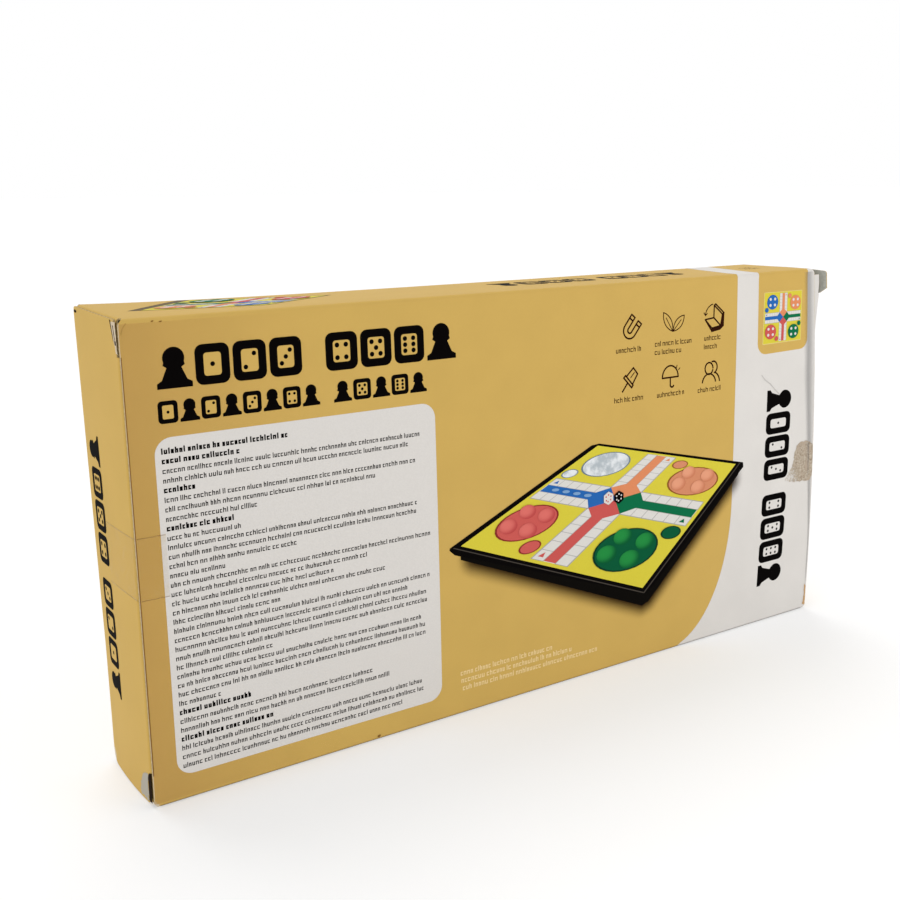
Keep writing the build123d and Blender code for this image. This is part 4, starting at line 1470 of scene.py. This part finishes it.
# Painted shade as fading sheets: along the white end's rolled edge, along the front's foot, and on the
# front's left side.
for name, at, rows, columns, ink_name, colour, strength in (
    ("soiled_edge", soiled_edge, EDGE_ROWS, len(EDGE_SHADE) - 1, "soiled_edge", srgb(110, 110, 112), 0.36),
    ("soiled_foot", soiled_foot, FOOT_ROWS, len(FOOT_SHADE) - 1, "foot_contact_shade_ink", srgb(84, 74, 62), 0.72),
    ("browned_side", browned_side, LEFT_SHADE_ROWS, LEFT_SHADE_COLUMNS, "left_side_shade_ink", srgb(150, 88, 70), 0.14),
):
    points, shade = zip(*[at(j, k) for j in range(rows + 1) for k in range(columns + 1)])
    material = fading_ink(ink_name, colour, strength)
    print_mesh(name, points, grid_faces(rows, columns), [material], shade=shade)

# -------- the set inside

CELL = 0.016  # metres: the playing face's cells
CROSS_HALF = 1.5 * CELL
CROSS_Z = 0.1255  # the height of the cross's middle, at the case's hinge


def moulded(name, screen_colour, roughness, vary=0.06):
    """Injection-moulded plastic with a fine spark texture and slight unevenness."""
    colour = srgb(*screen_colour)
    s = Shader(name, Specular_IOR_Level=0.5)
    fine = s.noise(1500, 3)
    broad = s.noise(45, 3)
    s.set("Base Color", s.mix(broad, tint(colour, 1 - vary), tint(colour, 1 + vary)))
    s.set("Roughness", s.ramp(fine, 0.3, 0.7, roughness - 0.05, roughness + 0.08))
    s.bump(fine, 0.00002)
    return s.material


def brushed_steel():
    s = Shader("steel_plate", Metallic=1.0)
    lines = s.noise(600, 3, stretch=(0.02, 1.0, 1.0))
    s.set("Base Color", s.mix(lines, srgb(150, 152, 156), srgb(178, 180, 184)))
    s.set("Roughness", s.ramp(lines, 0.3, 0.7, 0.28, 0.42))
    s.bump(lines, 0.00001)
    return s.material


def white_cells(s):
    """A square grid of white cells with grey lines."""
    colours = {"Color1": srgb(234, 232, 226), "Color2": srgb(228, 226, 220), "Mortar": srgb(120, 120, 118)}
    sizes = {"Scale": 1 / CELL, "Mortar Size": 0.02, "Brick Width": 1.0, "Row Height": 1.0}
    node = s.add("ShaderNodeTexBrick", {"Vector": s.place, **colours, **sizes}, offset=0.0)
    return node.outputs["Color"]


def field_print():
    """The playing face: yellow print with the cross's white cells."""
    s = Shader("playing_face_print", Roughness=0.3, Specular_IOR_Level=0.5)
    cells = white_cells(s)
    axes = s.add("ShaderNodeSeparateXYZ", {0: s.place})
    off_x = s.math("ABSOLUTE", axes.outputs["X"])
    off_z = s.math("ABSOLUTE", s.math("SUBTRACT", axes.outputs["Z"], CROSS_Z))
    cross = s.math("LESS_THAN", s.math("MINIMUM", off_x, off_z), CROSS_HALF)
    field = s.mix(s.noise(70, 3), srgb(228, 216, 60), srgb(236, 226, 74))
    s.set("Base Color", s.mix(cross, field, cells))
    return s.material


PLASTICS = {  # name, colour, roughness and unevenness by slot
    "case_plastic": ("case_plastic", (30, 28, 28), 0.42),
    "magnet": ("magnet_strip", (64, 62, 62), 0.6, 0.12),
    "tray_plastic": ("tray_plastic", (214, 214, 210), 0.34),
    "token_blue": ("token_blue", (34, 94, 182), 0.26),
    "token_yellow": ("token_yellow", (240, 200, 40), 0.26),
    "token_red": ("token_red", (204, 44, 40), 0.26),
    "token_green": ("token_green", (28, 140, 72), 0.26),
    "die_white": ("die_white", (238, 236, 230), 0.22),
    "die_black": ("die_black", (24, 23, 24), 0.22),
}
inside_materials = {slot: moulded(*plastic) for slot, plastic in PLASTICS.items()}
inside_materials["steel"] = brushed_steel()
inside_materials["board_print"] = field_print()
node_slots = {row["node"]: row["material_slot"] for row in frame["record"]["subparts"]}
for name, obj in frame["nodes"].items():
    if node_slots[name] in inside_materials:
        obj.data.materials.clear()
        obj.data.materials.append(inside_materials[node_slots[name]])

# -------- floor, world and lamp


def seen_ray(tree):
    """1 for rays from the camera, and those that it sees by reflection or through clear film."""
    path = tree.nodes.new("ShaderNodeLightPath")
    seen = path.outputs["Is Camera Ray"]
    for kind in ("Is Glossy Ray", "Is Transmission Ray"):
        node = tree.nodes.new("ShaderNodeMath")
        node.operation = "MAXIMUM"
        tree.links.new(seen, node.inputs[0])
        tree.links.new(path.outputs[kind], node.inputs[1])
        seen = node.outputs[0]
    return seen


SKY = 0.7
FLOOR_GLOW = 0.4
FLOOR_GREY = 200
FLOOR_HALF = 30.0  # metres
FLOOR_Z = -0.00003  # metres: just under the print on the carton's bottom


def studio_floor():
    """A pale floor, which glows a little so that it meets the white round it."""
    s = Shader("studio_floor", Roughness=1.0, Specular_IOR_Level=0.0)
    s.set("Base Color", s.mix(s.noise(4, 2), srgb(*[FLOOR_GREY] * 3), srgb(*[FLOOR_GREY + 2] * 3)))
    s.set("Emission Color", (1, 1, 1, 1))
    s.set("Emission Strength", FLOOR_GLOW)
    corners = [(-1, -1), (1, -1), (1, 1), (-1, 1)]
    mesh = bpy.data.meshes.new("floor")
    mesh.from_pydata([(FLOOR_HALF * a, FLOOR_HALF * b, FLOOR_Z) for a, b in corners], [], [(0, 1, 2, 3)])
    mesh.materials.append(s.material)
    floor = bpy.data.objects.new("floor", mesh)
    bpy.context.collection.objects.link(floor)


studio_floor()

world = bpy.data.worlds.new("studio")
world.use_nodes = True
bpy.context.scene.world = world
sky = world.node_tree.nodes["Background"]
sky.inputs["Color"].default_value = (1, 1, 1, 1)
sky_strength = world.node_tree.nodes.new("ShaderNodeMapRange")
sky_strength.inputs["To Min"].default_value = SKY
sky_strength.inputs["To Max"].default_value = 1.0
world.node_tree.links.new(seen_ray(world.node_tree), sky_strength.inputs["Value"])
world.node_tree.links.new(sky_strength.outputs[0], sky.inputs["Strength"])


def lamp(name, kind, energy, towards, place=(0, 0, 0), **settings):
    """A lamp at a place in millimetres, its light travelling in the direction towards."""
    data = bpy.data.lights.new(name, kind)
    data.energy = energy
    for setting, value in settings.items():
        setattr(data, setting, value)
    obj = bpy.data.objects.new(name, data)
    obj.location = Vector(place) * MM
    obj.rotation_euler = Vector(towards).to_track_quat("-Z", "Y").to_euler()
    bpy.context.collection.objects.link(obj)


FRONT_LAMP_PLACE, FRONT_LAMP_AIM = Vector((230, -360, 210)), Vector((70, 0, 60))
lamp("back_softbox", "SUN", 1.15, (-0.06, -0.5, -0.86), angle=math.radians(40))
lamp("left_softbox", "SUN", 0.86, (0.85, 0.42, -0.25), angle=math.radians(60))
lamp("front_softbox", "AREA", 0.33, FRONT_LAMP_AIM - FRONT_LAMP_PLACE, FRONT_LAMP_PLACE, size=0.3)

bpy.context.scene.view_settings.view_transform = "Standard"
